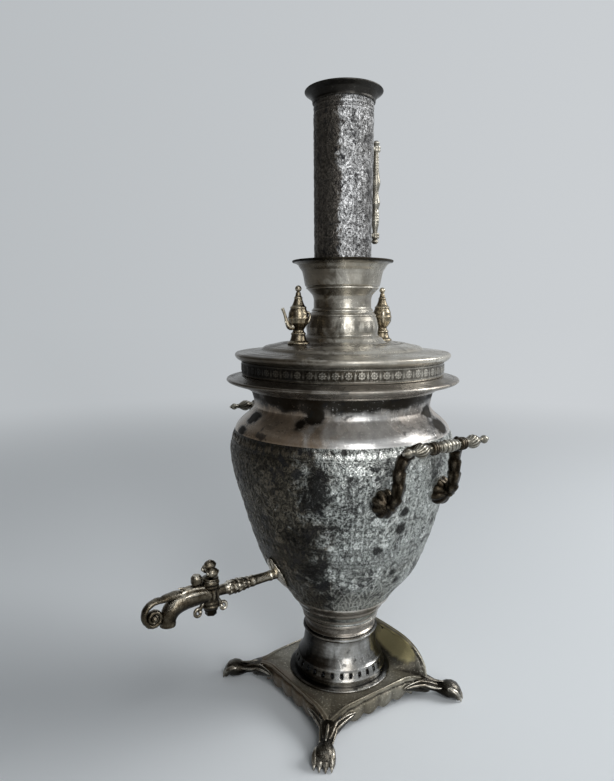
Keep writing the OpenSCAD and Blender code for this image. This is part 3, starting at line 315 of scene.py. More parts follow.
CAST_PAW = cast_metal(
    "cast_paw", (0.015, 0.013, 0.01), (0.075, 0.068, 0.056), (0.66, 0.62, 0.54), 4.0, (0.14, 0.34), 0.8)
ARM_BRONZE = cast_metal(
    "arm_bronze", (0.015, 0.011, 0.007), (0.16, 0.135, 0.1), (0.68, 0.62, 0.52), 4.0, (0.12, 0.32), 0.8)
KNOB_GILT = cast_metal("knob_gilt", (0.03, 0.023, 0.013), (0.37, 0.315, 0.225), (0.86, 0.8, 0.67), 2.0, (0.1, 0.28))
PALE_NICKEL = cast_metal(
    "pale_nickel", (0.07, 0.062, 0.045), (0.38, 0.36, 0.305), (0.82, 0.79, 0.71), 2.0, (0.16, 0.34))
BRASS_NUT = cast_metal("brass_nut", (0.12, 0.08, 0.03), (0.42, 0.31, 0.13), (0.6, 0.47, 0.22), 2.0)
SOOTY_IRON = cast_metal(
    "sooty_iron", (0.015, 0.014, 0.013), (0.05, 0.047, 0.044), (0.12, 0.11, 0.1), 1.0, (0.55, 0.8))


# Leather packing: brown, matt, creased
def make_leather():
    made, tree, skin, place, _ = start_material("leather_packing", 0.0)
    creases = noise(tree, place, 500.0, 5.0, 0.7)
    colour = ramp(tree, creases, [(0.3, (0.05, 0.028, 0.014)), (0.7, (0.16, 0.095, 0.05))])
    dress(tree, skin, colour, band(tree, creases, 0.3, 0.7, 0.6, 0.85))
    bump(tree, skin, creases, 0.5, 0.0005)
    return made


# Base sheet: dull silver, browned along the front and worn through to yellow brass inside the rear lip
def make_base_silver():
    made, tree, metal, place, wear_and_shading = start_material("base_silver", 0.72)
    tarnish_and_shade = placed(tree, TARNISH_AND_SHADE, place, 1.3)
    cloud, specks = tarnish_and_shade["Cloud"], tarnish_and_shade["Specks"]
    dents = placed(tree, STIPPLE, place, 480.0)["Height"]
    bare = node(tree, "ShaderNodeAttribute", attribute_name="bare").outputs["Fac"]
    silver = [(0.15, (0.05, 0.044, 0.034)), (0.5, (0.43, 0.405, 0.335)), (0.85, (0.84, 0.81, 0.71))]
    colour = ramp(tree, swayed(tree, wear_and_shading, (specks, 0.4, 0.5)), silver)
    colour = blend(tree, times(tree, cloud, 0.65), colour, (0.36, 0.31, 0.22), "MULTIPLY")
    back = node(tree, "ShaderNodeSeparateXYZ", {0: place}).outputs[1]
    front = band(tree, swayed(tree, back, (cloud, 0.5, 0.016)), -0.052, -0.066, 0.0, 0.72)
    colour = blend(tree, front, colour, (0.1, 0.066, 0.038))
    worn = band(tree, swayed(tree, bare, (cloud, 0.5, 0.45)), 0.25, 0.75)
    colour = blend(tree, worn, colour, (0.76, 0.67, 0.37))
    dress(tree, metal, colour, band(tree, cloud, 0.0, 1.0, 0.3, 0.5))
    bump(tree, metal, plus(tree, dents, specks), 0.25, 0.0004)
    return made


LEATHER, BASE_SILVER = make_leather(), make_base_silver()


# Outline tools, in millimetres
def knot_slopes(knots):
    rises = [(b[0] - a[0]) / (b[1] - a[1]) for a, b in zip(knots, knots[1:])]
    middle = [0 if p * q <= 0 else 2 * p * q / (p + q) for p, q in zip(rises, rises[1:])]
    return [0, *middle, 0]


def curve_r(knots, z):
    m = knot_slopes(knots)
    i = max([k for k in range(len(knots) - 1) if z >= knots[k][1]] or [0])
    (a, low), (b, high) = knots[i], knots[i + 1]
    h = high - low
    t = (z - low) / h
    return (
        a * (1 + 2 * t) * (1 - t) ** 2 + h * m[i] * t * (1 - t) ** 2
        + b * t * t * (3 - 2 * t) + h * m[i + 1] * t * t * (t - 1)
    )


def curve(knots, steps):
    low, high = knots[0][1], knots[-1][1]
    heights = [low + (high - low) * i / steps for i in range(steps + 1)]
    return [(curve_r(knots, z), z) for z in heights]


def eased(points, reach=1.0, steps=4):
    out = [tuple(points[0])]
    for a, b, c in zip(points, points[1:], points[2:]):
        a, b, c = Vector(a), Vector(b), Vector(c)
        k = min(reach, 0.45 * (a - b).length, 0.45 * (c - b).length)
        p, q = b + (a - b).normalized() * k, b + (c - b).normalized() * k
        for i in range(steps + 1):
            t = i / steps
            out.append(tuple(p * (1 - t) ** 2 + b * (2 * t * (1 - t)) + q * t * t))
    return [*out, tuple(points[-1])]


def dense(points, step):
    out = [tuple(points[0])]
    for a, b in zip(points, points[1:]):
        n = max(1, math.ceil(math.dist(a, b) / step))
        out += [tuple(Vector(a).lerp(Vector(b), i / n)) for i in range(1, n + 1)]
    return out


def run_of(points):
    return np.concatenate([[0], np.cumsum([math.dist(a, b) for a, b in zip(points, points[1:])])])


def even_run(points, count):
    run = run_of(points)
    even = np.linspace(0, run[-1], count)
    return list(zip(np.interp(even, run, [r for r, z in points]), np.interp(even, run, [z for r, z in points])))


# Mesh tools
# Turns faces outward; a sheet whose points were moved needs it once before it is rubbed
def set_faces(bm):
    bmesh.ops.recalc_face_normals(bm, faces=bm.faces)


def spun(bm, outline, turns, closed=True, place=Matrix()):
    before = set(bm.verts)
    verts = [bm.verts.new((r * MM, 0, z * MM)) for r, z in outline]
    edges = [bm.edges.new(pair) for pair in zip(verts, verts[1:])]
    if closed:
        edges.append(bm.edges.new((verts[-1], verts[0])))
    doublings = 3 if turns % 8 == 0 else 0
    sector = FULL_TURN / 2 ** doublings
    bmesh.ops.spin(bm, geom=verts + edges, cent=(0, 0, 0), axis=(0, 0, 1), angle=sector,
                   steps=turns // 2 ** doublings, use_merge=not doublings)
    made = [v for v in bm.verts if v not in before]
    for _ in range(doublings):
        faces = list(dict.fromkeys(f for v in made for f in v.link_faces))
        copy = bmesh.ops.duplicate(bm, geom=faces)["geom"]
        copied = [g for g in copy if isinstance(g, bmesh.types.BMVert)]
        bmesh.ops.rotate(bm, verts=copied, cent=(0, 0, 0), matrix=Matrix.Rotation(sector, 3, "Z"))
        made += copied
        sector *= 2
    bmesh.ops.remove_doubles(bm, verts=made, dist=2e-6)
    made = [v for v in bm.verts if v not in before]
    bmesh.ops.transform(bm, matrix=place, verts=made)
    return made


def grown(bm, edges):
    new = bmesh.ops.extrude_edge_only(bm, edges=edges)["geom"]
    verts = [g for g in new if isinstance(g, bmesh.types.BMVert)]
    inside = set(verts)
    return verts, [g for g in new if isinstance(g, bmesh.types.BMEdge) and set(g.verts) <= inside]


def edges_of(ring):
    return list(dict.fromkeys(e for v in ring for e in v.link_edges))


def rod(bm, path, radii, sides=14, wide=1.0, up=ALONG_X, carve=None):
    path = [Vector(p) * MM for p in path]
    rings, crosses = [], []
    for i, (middle, r) in enumerate(zip(path, radii)):
        way = (path[min(i + 1, len(path) - 1)] - path[max(i - 1, 0)]).normalized()
        across = (up - way * way.dot(up)).normalized()
        over = way.cross(across)
        crosses.append((middle, across, over))
        r = r * MM
        rows = [(across[k] * r * wide, over[k] * r, way[k] * r, middle[k]) for k in range(3)]
        rings.append(Matrix([*rows, (0, 0, 0, 1)]))
    ring = bmesh.ops.create_circle(bm, cap_ends=True, segments=sides, radius=1.0, matrix=rings[0])["verts"]
    loops, edges = [ring], edges_of(ring)
    for a, b in zip(rings, rings[1:]):
        verts, edges = grown(bm, edges)
        bmesh.ops.transform(bm, matrix=b @ a.inverted(), verts=verts)
        loops.append(verts)
    bmesh.ops.edgeloop_fill(bm, edges=edges)
    if carve:
        for i, (loop, (middle, across, over)) in enumerate(zip(loops, crosses)):
            for v in loop:
                off = v.co - middle
                lift = carve(i / (len(path) - 1), math.atan2(off.dot(over), off.dot(across)))
                v.co += off.normalized() * lift * MM
    return [v for loop in loops for v in loop]


# Overlapping leaf scales for a cast rod: rows along it and lobes round it
def scales(rows, lobes, lift):
    def carve(along, around):
        row = along * rows
        lobe = abs(math.cos(around * lobes / 2 + math.pi / 2 * (int(row) % 2)))
        return lift * ((row % 1) * lobe ** 0.7 - 0.35)
    return carve


def ball(bm, middle, size, u=14, v=9):
    place = Matrix.Translation(Vector(middle) * MM) @ Matrix.Diagonal((*(Vector(size) * MM), 1))
    return bmesh.ops.create_uvsphere(bm, u_segments=u, v_segments=v, radius=1.0, matrix=place)["verts"]


def bezier(a, b, c, d, t):
    return a * (1 - t) ** 3 + b * (3 * t * (1 - t) ** 2) + c * (3 * t * t * (1 - t)) + d * t ** 3


def pull(a, b, c, d, steps):
    a, b, c, d = map(Vector, (a, b, c, d))
    return [bezier(a, b, c, d, i / steps) for i in range(steps + 1)]


def at(x, y, z):
    return Matrix.Translation((x * MM, y * MM, z * MM))


def turned(angle, axis="Z"):
    return Matrix.Rotation(angle, 4, axis)


def set_at(bm, place):
    bmesh.ops.transform(bm, matrix=place, verts=bm.verts)


def turn_of(v):
    return math.atan2(v.co.y, v.co.x)


def turn_from(v, middle):
    return (turn_of(v) - middle + math.pi) % FULL_TURN - math.pi


def radius_of(v):
    return math.hypot(v.co.x, v.co.y) / MM


def unit(x):
    return min(1, max(0, x))


# Writes how far each point is rubbed bright (1) or sunk in dirt (0), from the shape round it; top adds painted light,
# lighter on faces that look up and darker on faces that look down
def rub_and_top_light(bm, gain=1.6, passes=2, top=0.0, level=0.5):
    layer = bm.verts.layers.float.get("wear_and_shading") or bm.verts.layers.float.new("wear_and_shading")
    set_faces(bm)
    bm.normal_update()
    for v in bm.verts:
        ways = [e.other_vert(v).co - v.co for e in v.link_edges if e.calc_length() > 1e-7]
        lean = sum(v.normal.dot(way.normalized()) for way in ways)
        v[layer] = level - gain * lean / max(1, len(ways)) + top * v.normal.z
    for _ in range(passes):
        evened = {v: (v[layer] + sum(e.other_vert(v)[layer] for e in v.link_edges)) / (1 + len(v.link_edges))
                  for v in bm.verts}
        for v, x in evened.items():
            v[layer] = x
    for v in bm.verts:
        v[layer] = min(1.0, max(0.0, v[layer]))


# Changes the wear and painted shading of every point by a rule of the point and its value
def rework_wear_and_shading(bm, rule):
    layer = bm.verts.layers.float["wear_and_shading"]
    for v in bm.verts:
        v[layer] = rule(v, v[layer])


def piece(name, bm, material, body, slot, *nodes, sharp=38, fresh=True):
    if fresh:
        set_faces(bm)
    if not bm.verts.layers.float.get("wear_and_shading"):
        rub_and_top_light(bm)
    mesh = bpy.data.meshes.new(name)
    bm.to_mesh(mesh)
    bm.free()
    mesh.shade_smooth()
    mesh.set_sharp_from_angle(angle=math.radians(sharp))
    mesh.materials.append(material)
    made = bpy.data.objects.new(name, mesh)
    scene.collection.objects.link(made)
    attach(made, body)
    if nodes:
        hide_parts(*nodes)
    return made


def lathe(name, outline, turns, material, body, slot, *nodes):
    bm = bmesh.new()
    spun(bm, outline, turns)
    return piece(name, bm, material, body, slot, *nodes)


def thicken(made, thickness, offset):
    sheet = made.modifiers.new("sheet", "SOLIDIFY")
    sheet.thickness = thickness * MM
    sheet.offset = offset


# Heights and radii that the part's source gives
SEAT_Z, VESSEL_Z, MOUTH_Z, RIM_Z = 27.0, 93.0, 350.0, 358.55
LID_Z, COLLAR_Z = 358.85, 423.35
CROWN_Z, CROWN_TOP, LEDGE_Z = 423.65, 475.65, 440.81
PIPE_Z, PIPE_TOP, LIP_TOP = 441.11, 637.11, 642.08
TAP_Z, BARREL_Y, SPOUT_Y = 156.0, -159.1, -203.1
VESSEL_KNOTS = [
    (41, VESSEL_Z), (60.7, 126), (83.1, 156), (104.6, 218), (118.6, 281), (112.8, 304), (93, 327), (97, MOUTH_Z),
]
WALL = 1.2


def vessel_r(z):
    return curve_r(VESSEL_KNOTS, z)


# Chasing motifs: x runs round the piece and y up it, in millimetres; each gives a height from 0 to 1
def rosette(x, y, r, petals, turn=0.0):
    d = np.hypot(x, y) / r
    lobe = np.abs(np.cos((np.arctan2(y, x) + turn) * petals / 2))
    petal = np.clip((0.72 + 0.28 * lobe - d) / 0.16, 0, 1) * (0.4 + 0.6 * lobe ** 0.6)
    hollow = 1 - 0.75 * np.exp(-(((d - 0.38) / 0.08) ** 2))
    return np.maximum(petal * hollow, np.clip((0.3 - d) / 0.1, 0, 1))


def leaf(x, y, length, width, angle):
    c, s = math.cos(angle), math.sin(angle)
    u = (x * c + y * s) / length
    v = y * c - x * s
    half = width / 2 * np.sin(np.pi * np.clip(u, 0, 1) ** 0.75)
    body = np.clip((half - np.abs(v)) / 0.9, 0, 1) * ((u > 0) & (u < 1))
    return body * (1 - 0.5 * np.exp(-((v / 0.6) ** 2)))


def line(x, y, points, width):
    best = np.full(x.shape, 1e9)
    for (ax, ay), (bx, by) in zip(points, points[1:]):
        along = (bx - ax) ** 2 + (by - ay) ** 2
        t = np.clip(((x - ax) * (bx - ax) + (y - ay) * (by - ay)) / along, 0, 1)
        best = np.minimum(best, np.hypot(x - ax - t * (bx - ax), y - ay - t * (by - ay)))
    return np.clip((width / 2 - best) / 0.8 + 0.2, 0, 1)


def curl(x, y, middle, r, turns, start, way, width):
    points = []
    for i in range(26):
        t = i / 25
        a = start + way * FULL_TURN * turns * t
        points.append((middle[0] + r * (1 - 0.8 * t) * math.cos(a), middle[1] + r * (1 - 0.8 * t) * math.sin(a)))
    return line(x, y, points, width)


def ring_line(y, middle, width):
    return np.clip((width / 2 - np.abs(y - middle)) / 0.7 + 0.2, 0, 1)


# Small leaves at all angles fill the ground between the larger motifs
def fill_ground(h, p, s, w, rows, spacing, seed):
    draw = np.random.RandomState(seed)
    fill = np.zeros(p.shape)
    for level in rows:
        wide = float(np.interp(level, s[0], w[0]))
        count = max(3, round(wide / spacing))
        for k in range(count):
            p0 = (k + draw.uniform(0.1, 0.9)) / count - 0.5
            dx, dy = ((p - p0 + 0.5) % 1 - 0.5) * w, s - level - draw.uniform(-0.3, 0.3) * spacing
            angle = draw.uniform(0, FULL_TURN)
            size = spacing * draw.uniform(1.0, 1.5)
            dx, dy = dx + math.cos(angle) * size / 2, dy + math.sin(angle) * size / 2
            np.maximum(fill, leaf(dx, dy, size, size * 0.52, angle) * draw.uniform(0.45, 0.75), out=fill)
    return np.where(h > 0.12, h, fill)


def leaned(side, lean):
    return lean if side > 0 else math.pi - lean


# Empty panel: its heights, the places across it, the way from a point of it and the way to add a shape
def blank_panel(p, s, w):
    h = np.zeros(p.shape)

    def near(p0, s0):
        return ((p - p0 + 0.5) % 1 - 0.5) * w, s - s0

    def add(*shapes):
        for shape in shapes:
            np.maximum(h, shape, out=h)

    return h, p * w, near, add


# One of twelve repeats round the vessel: a flowering vase under a pointed arch
def vessel_panel(p, s, w):
    h, x, near, add = blank_panel(p, s, w)
    add(0.22 * ring_line(s, 1.5, 2.6), 0.2 * ring_line(s, 16.5, 2.4), 0.35 * ring_line(s, 151.5, 2.0))
    for i in range(6):
        add(0.75 * leaf(*near((i + 0.5) / 6 - 0.5, 3.0), 12.5, 6.2, UPWARD + (0.25, -0.2)[i % 2]))
    for i in range(12):
        lean = (0.16, -0.12, 0.05, -0.2)[i % 4]
        add(leaf(*near((i + 0.5) / 12 - 0.5, 152.5), (15, 11.5, 13.5)[i % 3], 6.6, UPWARD + lean))
        add(leaf(*near(i / 12 - 0.5, 153), (8, 11)[i % 2], 3.2, UPWARD) * 0.7)
    # Stem and vase
    stem = [(1.6 * math.sin(k * 0.9), 22 + 3.2 * k) for k in range(29)]
    add(line(x, s, stem, 2.6))
    add(np.clip((1 - np.hypot(x / 10, (s - 26) / 6.5)) * 3, 0, 1) * (0.6 + 0.4 * np.abs(np.cos(x * 0.9))))
    add(np.clip((1 - np.hypot(x / 7, (s - 35.5) / 2)) * 3, 0, 1))
    # Flowers
    for p0, s0, r, petals in [
        (0, 116, 13, 12), (-0.245, 100, 9.5, 8), (0.245, 100, 9.5, 8), (0, 84, 9, 8),
        (-0.2, 66, 8, 6), (0.2, 66, 8, 6), (0, 52, 6.5, 6), (-0.3, 48, 6, 6), (0.3, 48, 6, 6),
        (0.5, 140, 8.5, 8), (0.5, 30, 6.5, 6), (-0.32, 28, 5, 5), (0.32, 28, 5, 5),
    ]:
        add(rosette(*near(p0, s0), r, petals))
    # Leaves in pairs on the stem, and sprays to the flowers
    pairs = [(40, 14, 0.5), (58, 15, 0.6), (72, 17, 0.35), (92, 17, 0.5), (104, 15, 0.9), (128, 12, 0.2)]
    for s0, length, lean in pairs:
        for side in (1, -1):
            angle = leaned(side, lean)
            add(leaf(*near(0.012 * side, s0), length, 6, angle))
            add(leaf(*near(0.15 * side, s0 + 5), length * 0.8, 5, angle + side * 0.9))
    # Arch and the columns that carry it
    arch = [(0.405, 20), (0.405, 60), (0.41, 104), (0.39, 118), (0.31, 129), (0.17, 135), (0.07, 141), (0, 149)]
    top_w, waist_w = np.interp((132, 80), s[0], w[0])
    for side in (1, -1):
        add(0.6 * line(x, s, [(a * side * np.interp(b, s[0], w[0]), b) for a, b in arch], 2.8))
        for k in range(9):
            add(leaf(*near(0.452 * side, 24 + 10 * k), 9, 4.6, UPWARD + side * (0.7 if k % 2 else -0.7)))
        add(curl(x, s, (side * 0.36 * top_w, 140), 7, 1.6, UPWARD, side, 2.2))
        add(curl(x, s, (side * 0.3 * waist_w, 80), 7.5, 1.7, -UPWARD, side, 2.4))
        add(curl(x, s, (side * 0.27 * waist_w, 122), 5.5, 1.5, math.pi, -side, 2.2))
    for k in range(13):
        add(rosette(*near(0.5, 42 + 7.2 * k), 3.0, 4, 0.4))
    return fill_ground(h, p, s, w, np.arange(20, 150, 4.2), 5.0, 11)


# One of twelve repeats round the foot of the vessel: a tall veined petal with roundels over it
def petal_panel(p, s, w):
    h, _, near, add = blank_panel(p, s, w)
    root = 14
    add(ring_line(s, 1.6, 2.4), ring_line(s, 11.5, 2.0), 0.2 * ring_line(s, 114.5, 2.4))
    for i in range(4):
        add(rosette(*near((i + 0.5) / 4 - 0.5, 6.5), 3.2, 5))
    for p0, top, share, bloom in ((0.0, 92, 0.4, 7.5), (0.5, 78, 0.34, 6.0)):
        t = np.clip((s - root) / (top - root), 0, 1)
        half = share * w * np.sin(np.pi * t ** 0.7) ** 0.6
        off = np.abs(near(p0, 0)[0])
        inside = (s > root) & (s < top)
        edge = np.clip(1.3 - np.abs(off - half), 0, 1) * inside
        veins = (off < half - 1.4) * inside * (0.35 + 0.35 * np.cos(off * 1.5 - s * 0.55))
        rib = np.clip(1.2 - off, 0, 1) * inside
        add(edge, np.clip(veins, 0, 1), rib)
        add(rosette(*near(p0, top + 7), bloom, 8), leaf(*near(p0, top + 13), 8, 6, UPWARD))
    for side in (1, -1):
        add(leaf(*near(0.25 * side, 96), 12, 6, UPWARD), rosette(*near(0.25 * side, 90), 4.0, 5))
    return fill_ground(h, p, s, w, np.arange(15, 112, 3.4), 4.0, 23)


# One of four repeats round the chimney pipe: oval flower medallions between leaf sprays
def pipe_panel(p, s, w):
    h, x, near, add = blank_panel(p, s, w)
    for level in (6, 12, 178, 184):
        add(ring_line(s, level, 1.8) * 0.8)
    for middle, tall in ((146, 25), (88, 24), (34, 17)):
        oval = np.hypot(x / 13.5, (s - middle) / tall)
        add(np.clip(1 - np.abs(oval - 1) * 8, 0, 1), rosette(*near(0, middle), 9, 10))
        for side in (1, -1):
            for k in (1, -1):
                add(leaf(*near(0.02 * side, middle + k * 8), 13, 5.5, leaned(side, k * 1.05)))
            add(leaf(*near(0.16 * side, middle), 6, 4, leaned(side, 0)))
        for k in range(8):
            add(leaf(*near(0.5, middle - 21 + 6 * k), 9, 4.5, UPWARD + 0.8 * (-1) ** k))
            for side in (1, -1):
                add(rosette(*near(0.41 * side, middle - 20 + 6 * k), 2.4, 4))
    for middle in (117, 60):
        add(rosette(*near(0, middle), 5.5, 6), rosette(*near(0.5, middle), 8, 8))
        for side in (1, -1):
            add(curl(x, s, (side * 0.22 * float(np.mean(w)), middle), 6, 1.5, math.pi, -side, 2.0))
    for i in range(4):
        p0 = (i + 0.5) / 4 - 0.5
        add(leaf(*near(p0, 168), 9, 8, UPWARD), leaf(*near(p0, 22), 9, 8, -UPWARD))
    return fill_ground(h, p, s, w, np.arange(15, 176, 4.0), 4.6, 5)


# Spins an outline and raises a repeating chased panel on the part of it given by its first points
def chased(outline, count, turns, repeats, panel, tall, grow, depth, sunk, ground):
    bm = bmesh.new()
    spun(bm, outline, turns)
    set_faces(bm)
    bm.normal_update()
    field = outline[:count]
    run = run_of(field)
    columns = turns // repeats
    p = (np.arange(columns) / columns - 0.5)[:, None] * np.ones((1, count))
    s = np.ones((columns, 1)) * (run * tall / run[-1])[None, :]
    wide = FULL_TURN * np.array([r for r, z in field]) / repeats
    h = panel(p, s, np.ones((columns, 1)) * (wide * grow)[None, :])
    across = (np.roll(h, -1, 0) - np.roll(h, 1, 0)) / (2 * wide / columns)[None, :]
    along = np.gradient(h, run, axis=1)
    darkening = np.clip(np.hypot(across, along) * 1.5 - 0.2, 0, 1)
    wear_and_shading = np.clip(ground + (0.94 - ground) * h - 0.34 * darkening, 0.02, 1)
    ease = np.clip(np.minimum(np.arange(count), count - 1 - np.arange(count)) / 2, 0, 1)
    ring_of = {(round(r, 2), round(z, 2)): i for i, (r, z) in enumerate(field)}
    layer = bm.verts.layers.float.new("wear_and_shading")
    for v in bm.verts:
        i = ring_of.get((round(radius_of(v), 2), round(v.co.z / MM, 2)))
        v[layer] = 0.45
        if i is None:
            continue
        j = round(turn_of(v) / FULL_TURN * turns) % columns
        v[layer] = wear_and_shading[j, i]
        v.co += v.normal * (ease[i] * (depth * h[j, i] - sunk) * MM)
    return bm


# Black patina spots, and broad faint patches of painted shade: each is a turn in degrees, a height, a size and how
# black it is
def blacken(bm, spots, wide=1.0):
    layer = bm.verts.layers.float["wear_and_shading"]
    for turn, z, size, hold in spots:
        a = math.radians(turn)
        for v in bm.verts:
            rise = v.co.z / MM - z
            if abs(rise) > size * 2.2:
                continue
            ragged = 1 + 0.3 * lumpy.noise(v.co * (1.6 / (size * MM))) + 0.2 * lumpy.noise(v.co * 260)
            far = math.hypot(turn_from(v, a) * radius_of(v) / wide, rise) / (size * max(0.3, ragged))
            k = hold * math.exp(-far ** 3)
            v[layer] = v[layer] * (1 - k) - 0.35 * k * hold


# Painted shade on one side: darkens the wear and shading round one turn, in radians, above a height
def shade_side(bm, middle, spread, hold, above=0.0):
    def rule(v, wear_and_shading):
        if v.co.z <= above * MM:
            return wear_and_shading
        darkening = hold * math.exp(-(turn_from(v, middle) / spread) ** 2)
        return wear_and_shading * (1 - darkening * (1 + 0.5 * lumpy.noise(v.co * 90)))
    rework_wear_and_shading(bm, rule)


# Evens the wear and shading towards one level round a turn
def even_out(bm, middle, spread, hold, level):
    def rule(v, wear_and_shading):
        return wear_and_shading + (level - wear_and_shading) * hold * math.exp(-(turn_from(v, middle) / spread) ** 2)
    rework_wear_and_shading(bm, rule)


# Vessel: petals below, flowering vases above, then the polished shoulder
TIER_Z, SEAM_Z, NECK_Z = 186.0, 302.0, 328.5
# Small spots are black patina; the broad ones from -40 to -61 degrees are a painted dark reflection down the left of
# the front
BODY_SPOTS_AND_SHADE = [
    (-6, 238, 4.5, 0.95), (-6, 220, 5.5, 0.95), (-18, 199, 5, 0.9), (-37, 299, 3, 0.9), (2, 158, 4, 0.8),
    (-49, 274, 13, 0.6), (-52, 252, 14, 0.65), (-47, 262, 9, 0.6), (-54, 171, 16, 0.6), (-61, 209, 15, 0.5),
    (24, 215, 4, 0.8), (-4, 170, 4, 0.8), (-40, 236, 24, 0.35), (60, 240, 6, 0.9), (100, 205, 5, 0.9),
    (128, 262, 6, 0.9), (170, 226, 7, 0.9), (205, 250, 5, 0.9), (215, 180, 6, 0.8),
]
# The two broad faint patches, at 12 and -85 degrees, are painted shade; the rest are black patina
SHOULDER_SPOTS_AND_SHADE = [
    (-54, 328, 8, 0.9), (-62, 319, 5, 0.6), (95, 316, 5, 0.9), (150, 324, 6, 0.9), (210, 312, 5, 0.9),
    (12, 314, 24, 0.32), (-85, 318, 26, 0.12),
]
WIDE_SPOTS = [(27, 325, 5.5, 1.0), (28, 311, 6.5, 1.0), (-101, 318, 5, 1.0), (-102, 305, 4.5, 0.95)]
body_curve = curve(VESSEL_KNOTS, 1028)
for name, low_z, high_z, rows, turns, panel, tall, grow, nodes in (
    ("vessel_lower", VESSEL_Z, TIER_Z, 108, 576, petal_panel, 118, 1.0, ["vessel"]),
    ("vessel_upper", TIER_Z, SEAM_Z, 112, 768, vessel_panel, 168, 1.42, []),
):
    outside = even_run([q for q in body_curve if low_z <= q[1] <= high_z], rows)
    inside = [(vessel_r(z) - WALL * 1.08, z) for z in np.linspace(high_z, low_z, 5)]
    bm = chased(outside + inside, rows, turns, 12, panel, tall, grow, depth=0.7, sunk=0.25, ground=0.3)
    even_out(bm, 0.25, 0.6, 0.45, 0.56)
    blacken(bm, BODY_SPOTS_AND_SHADE)
    piece(name, bm, VESSEL_SILVER, "stand", "silver", *nodes, fresh=False)


# Painted shade under the rim: above a ragged line the neck is darkened, in streaks
def neck_shade(v, wear_and_shading):
    ragged = NECK_Z + 4.0 * lumpy.noise(v.co * 40) + 2.4 * lumpy.noise(v.co * 150)
    streak = 0.9 - 0.5 * max(0, lumpy.noise(v.co * 70 + Vector((3, 1, 7))))
    return wear_and_shading * (1 - streak * unit((v.co.z / MM - ragged) / 7))


upper = [q for q in body_curve if q[1] >= SEAM_Z][::3]
bm = bmesh.new()
spun(bm, upper + [(r - WALL, z) for r, z in reversed(upper)], 256)
rub_and_top_light(bm, 1.2)
blacken(bm, SHOULDER_SPOTS_AND_SHADE)
blacken(bm, WIDE_SPOTS, 2.0)
rework_wear_and_shading(bm, neck_shade)
piece("vessel_shoulder", bm, SHOULDER_SILVER, "stand", "silver")

# Turned rings at the foot of the vessel
ring_steps = [
    (95, 0.2), (96.5, 1.5), (98.5, 0.6), (102.5, 0.5), (104, 1.8), (106.5, 1.8), (108, 0.6), (112, 0.5), (113.5, 1.6),
    (116, 1.8), (118, 0.1),
]
rings = eased([(vessel_r(z) + out, z) for z, out in ring_steps], 0.8, 3)
rings += [(vessel_r(z) - 0.5, z) for z in np.linspace(118, 95, 8)]
lathe("vessel_foot_rings", rings, 160, RIM_SILVER, "stand", "silver")

# Rim ring: rolled edge with grooves on its slope
rim = eased([
    (97.05, 343.2), (99, 343.2), (101, 345.75), (105, 347.6), (106.2, 346.9), (109.5, 349.15), (115, 350.6),
    (116, 350.1), (120, 351.7), (122, 353.4), (121, 355.27), (117, 356.1), (116, 355.5), (110, 357.87), (108, RIM_Z),
    (95.8, RIM_Z), (95.8, 350.05), (97.05, 350.05),
], 0.8)
lathe("rim_collar", rim, 192, RIM_SILVER, "stand", "silver", "rim_ring")

# Fire pipe inside the vessel
fire_pipe = eased([
    (33.5, 93), (36, 93), (36, 111), (26.2, 411.81), (26.2, 445.81), (24.7, 445.81), (24.7, 411.81), (34.5, 111),
    (34.5, 94.5), (33.5, 94.5),
], 0.5, 2)
lathe("fire_pipe", fire_pipe, 72, SOOTY_IRON, "stand", "iron", "fire_tube")

# Pedestal bell with its ring of vents and a bead under the stem
VENTS, VENT_Z, VENT_R = 30, 40.52, 1.7
BEAD_Z, BEAD_R = 76.4, 2.6
bell_knots = [(50, 29.5), (48, 40.52), (40.5, 58.2), (38.5, 79)]
bell = sorted(curve(bell_knots, 33) + [(curve_r(bell_knots, VENT_Z), VENT_Z)], key=lambda q: q[1])
bell = [q for q in bell if q[1] == VENT_Z or abs(q[1] - VENT_Z) > 1.0]
shape = []
for r, z in bell:
    swell = BEAD_R * math.sqrt(max(0, 1 - ((z - BEAD_Z) / BEAD_R) ** 2))
    swell += sum(0.7 * math.exp(-((z - ridge_z) / 0.9) ** 2) for ridge_z in (35.5, 46))
    shape.append((r + swell, z))
foot = eased([(48.6, 27.05), (56, 27.05), (56, 28.7), (54, 29.5), (51.5, 29.5), shape[0]], 0.5, 3)
bm = bmesh.new()
spun(bm, foot + shape[1:], VENTS * 8, closed=False)
layer = bm.verts.layers.float.new("wear_and_shading")
vent_edges = []
for v in [v for v in bm.verts if abs(v.co.z / MM - VENT_Z) < 0.01]:
    turn = turn_of(v) / FULL_TURN * VENTS
    if abs(turn - round(turn)) > 0.01:
        continue
    middle, side = v.co.copy(), ALONG_Z.cross(Vector((v.co.x, v.co.y, 0)).normalized())
    rim_verts = {w for f in v.link_faces for w in f.verts} - {v}
    for w in rim_verts:
        across, up = (w.co - middle).dot(side), (w.co - middle).z
        reach = VENT_R * MM / math.hypot(across, up)
        w.co += side * across * (reach - 1) + Vector((0, 0, up * (reach - 1)))
    vent_edges += rim_verts
    bm.verts.remove(v)
set_faces(bm)
rub_and_top_light(bm)
# Painted light and shade: the bell is lighter towards the front and back and darker at the sides
rework_wear_and_shading(bm, lambda v, wear_and_shading: wear_and_shading * (0.62 + 0.42 * math.cos(2 * (turn_of(v) + 0.52))))
for v in vent_edges:
    v[layer] = 0.06
thicken(piece("pedestal_bell", bm, DARK_SILVER, "stand", "dark_silver", "pedestal", fresh=False), 1.5, -1)

# Stem collar: turned neck between the bell and the vessel
stem_ring = eased([
    (33.5, 79.05), (38.5, 79.05), (38.8, 80.2), (36.7, 82.1), (36.7, 87.4), (40, 89), (41.4, 90.6), (41, 93),
    (33.5, 93),
], 0.8)
lathe("stem_ring", stem_ring, 128, RIM_SILVER, "stand", "silver", "stem_collar")

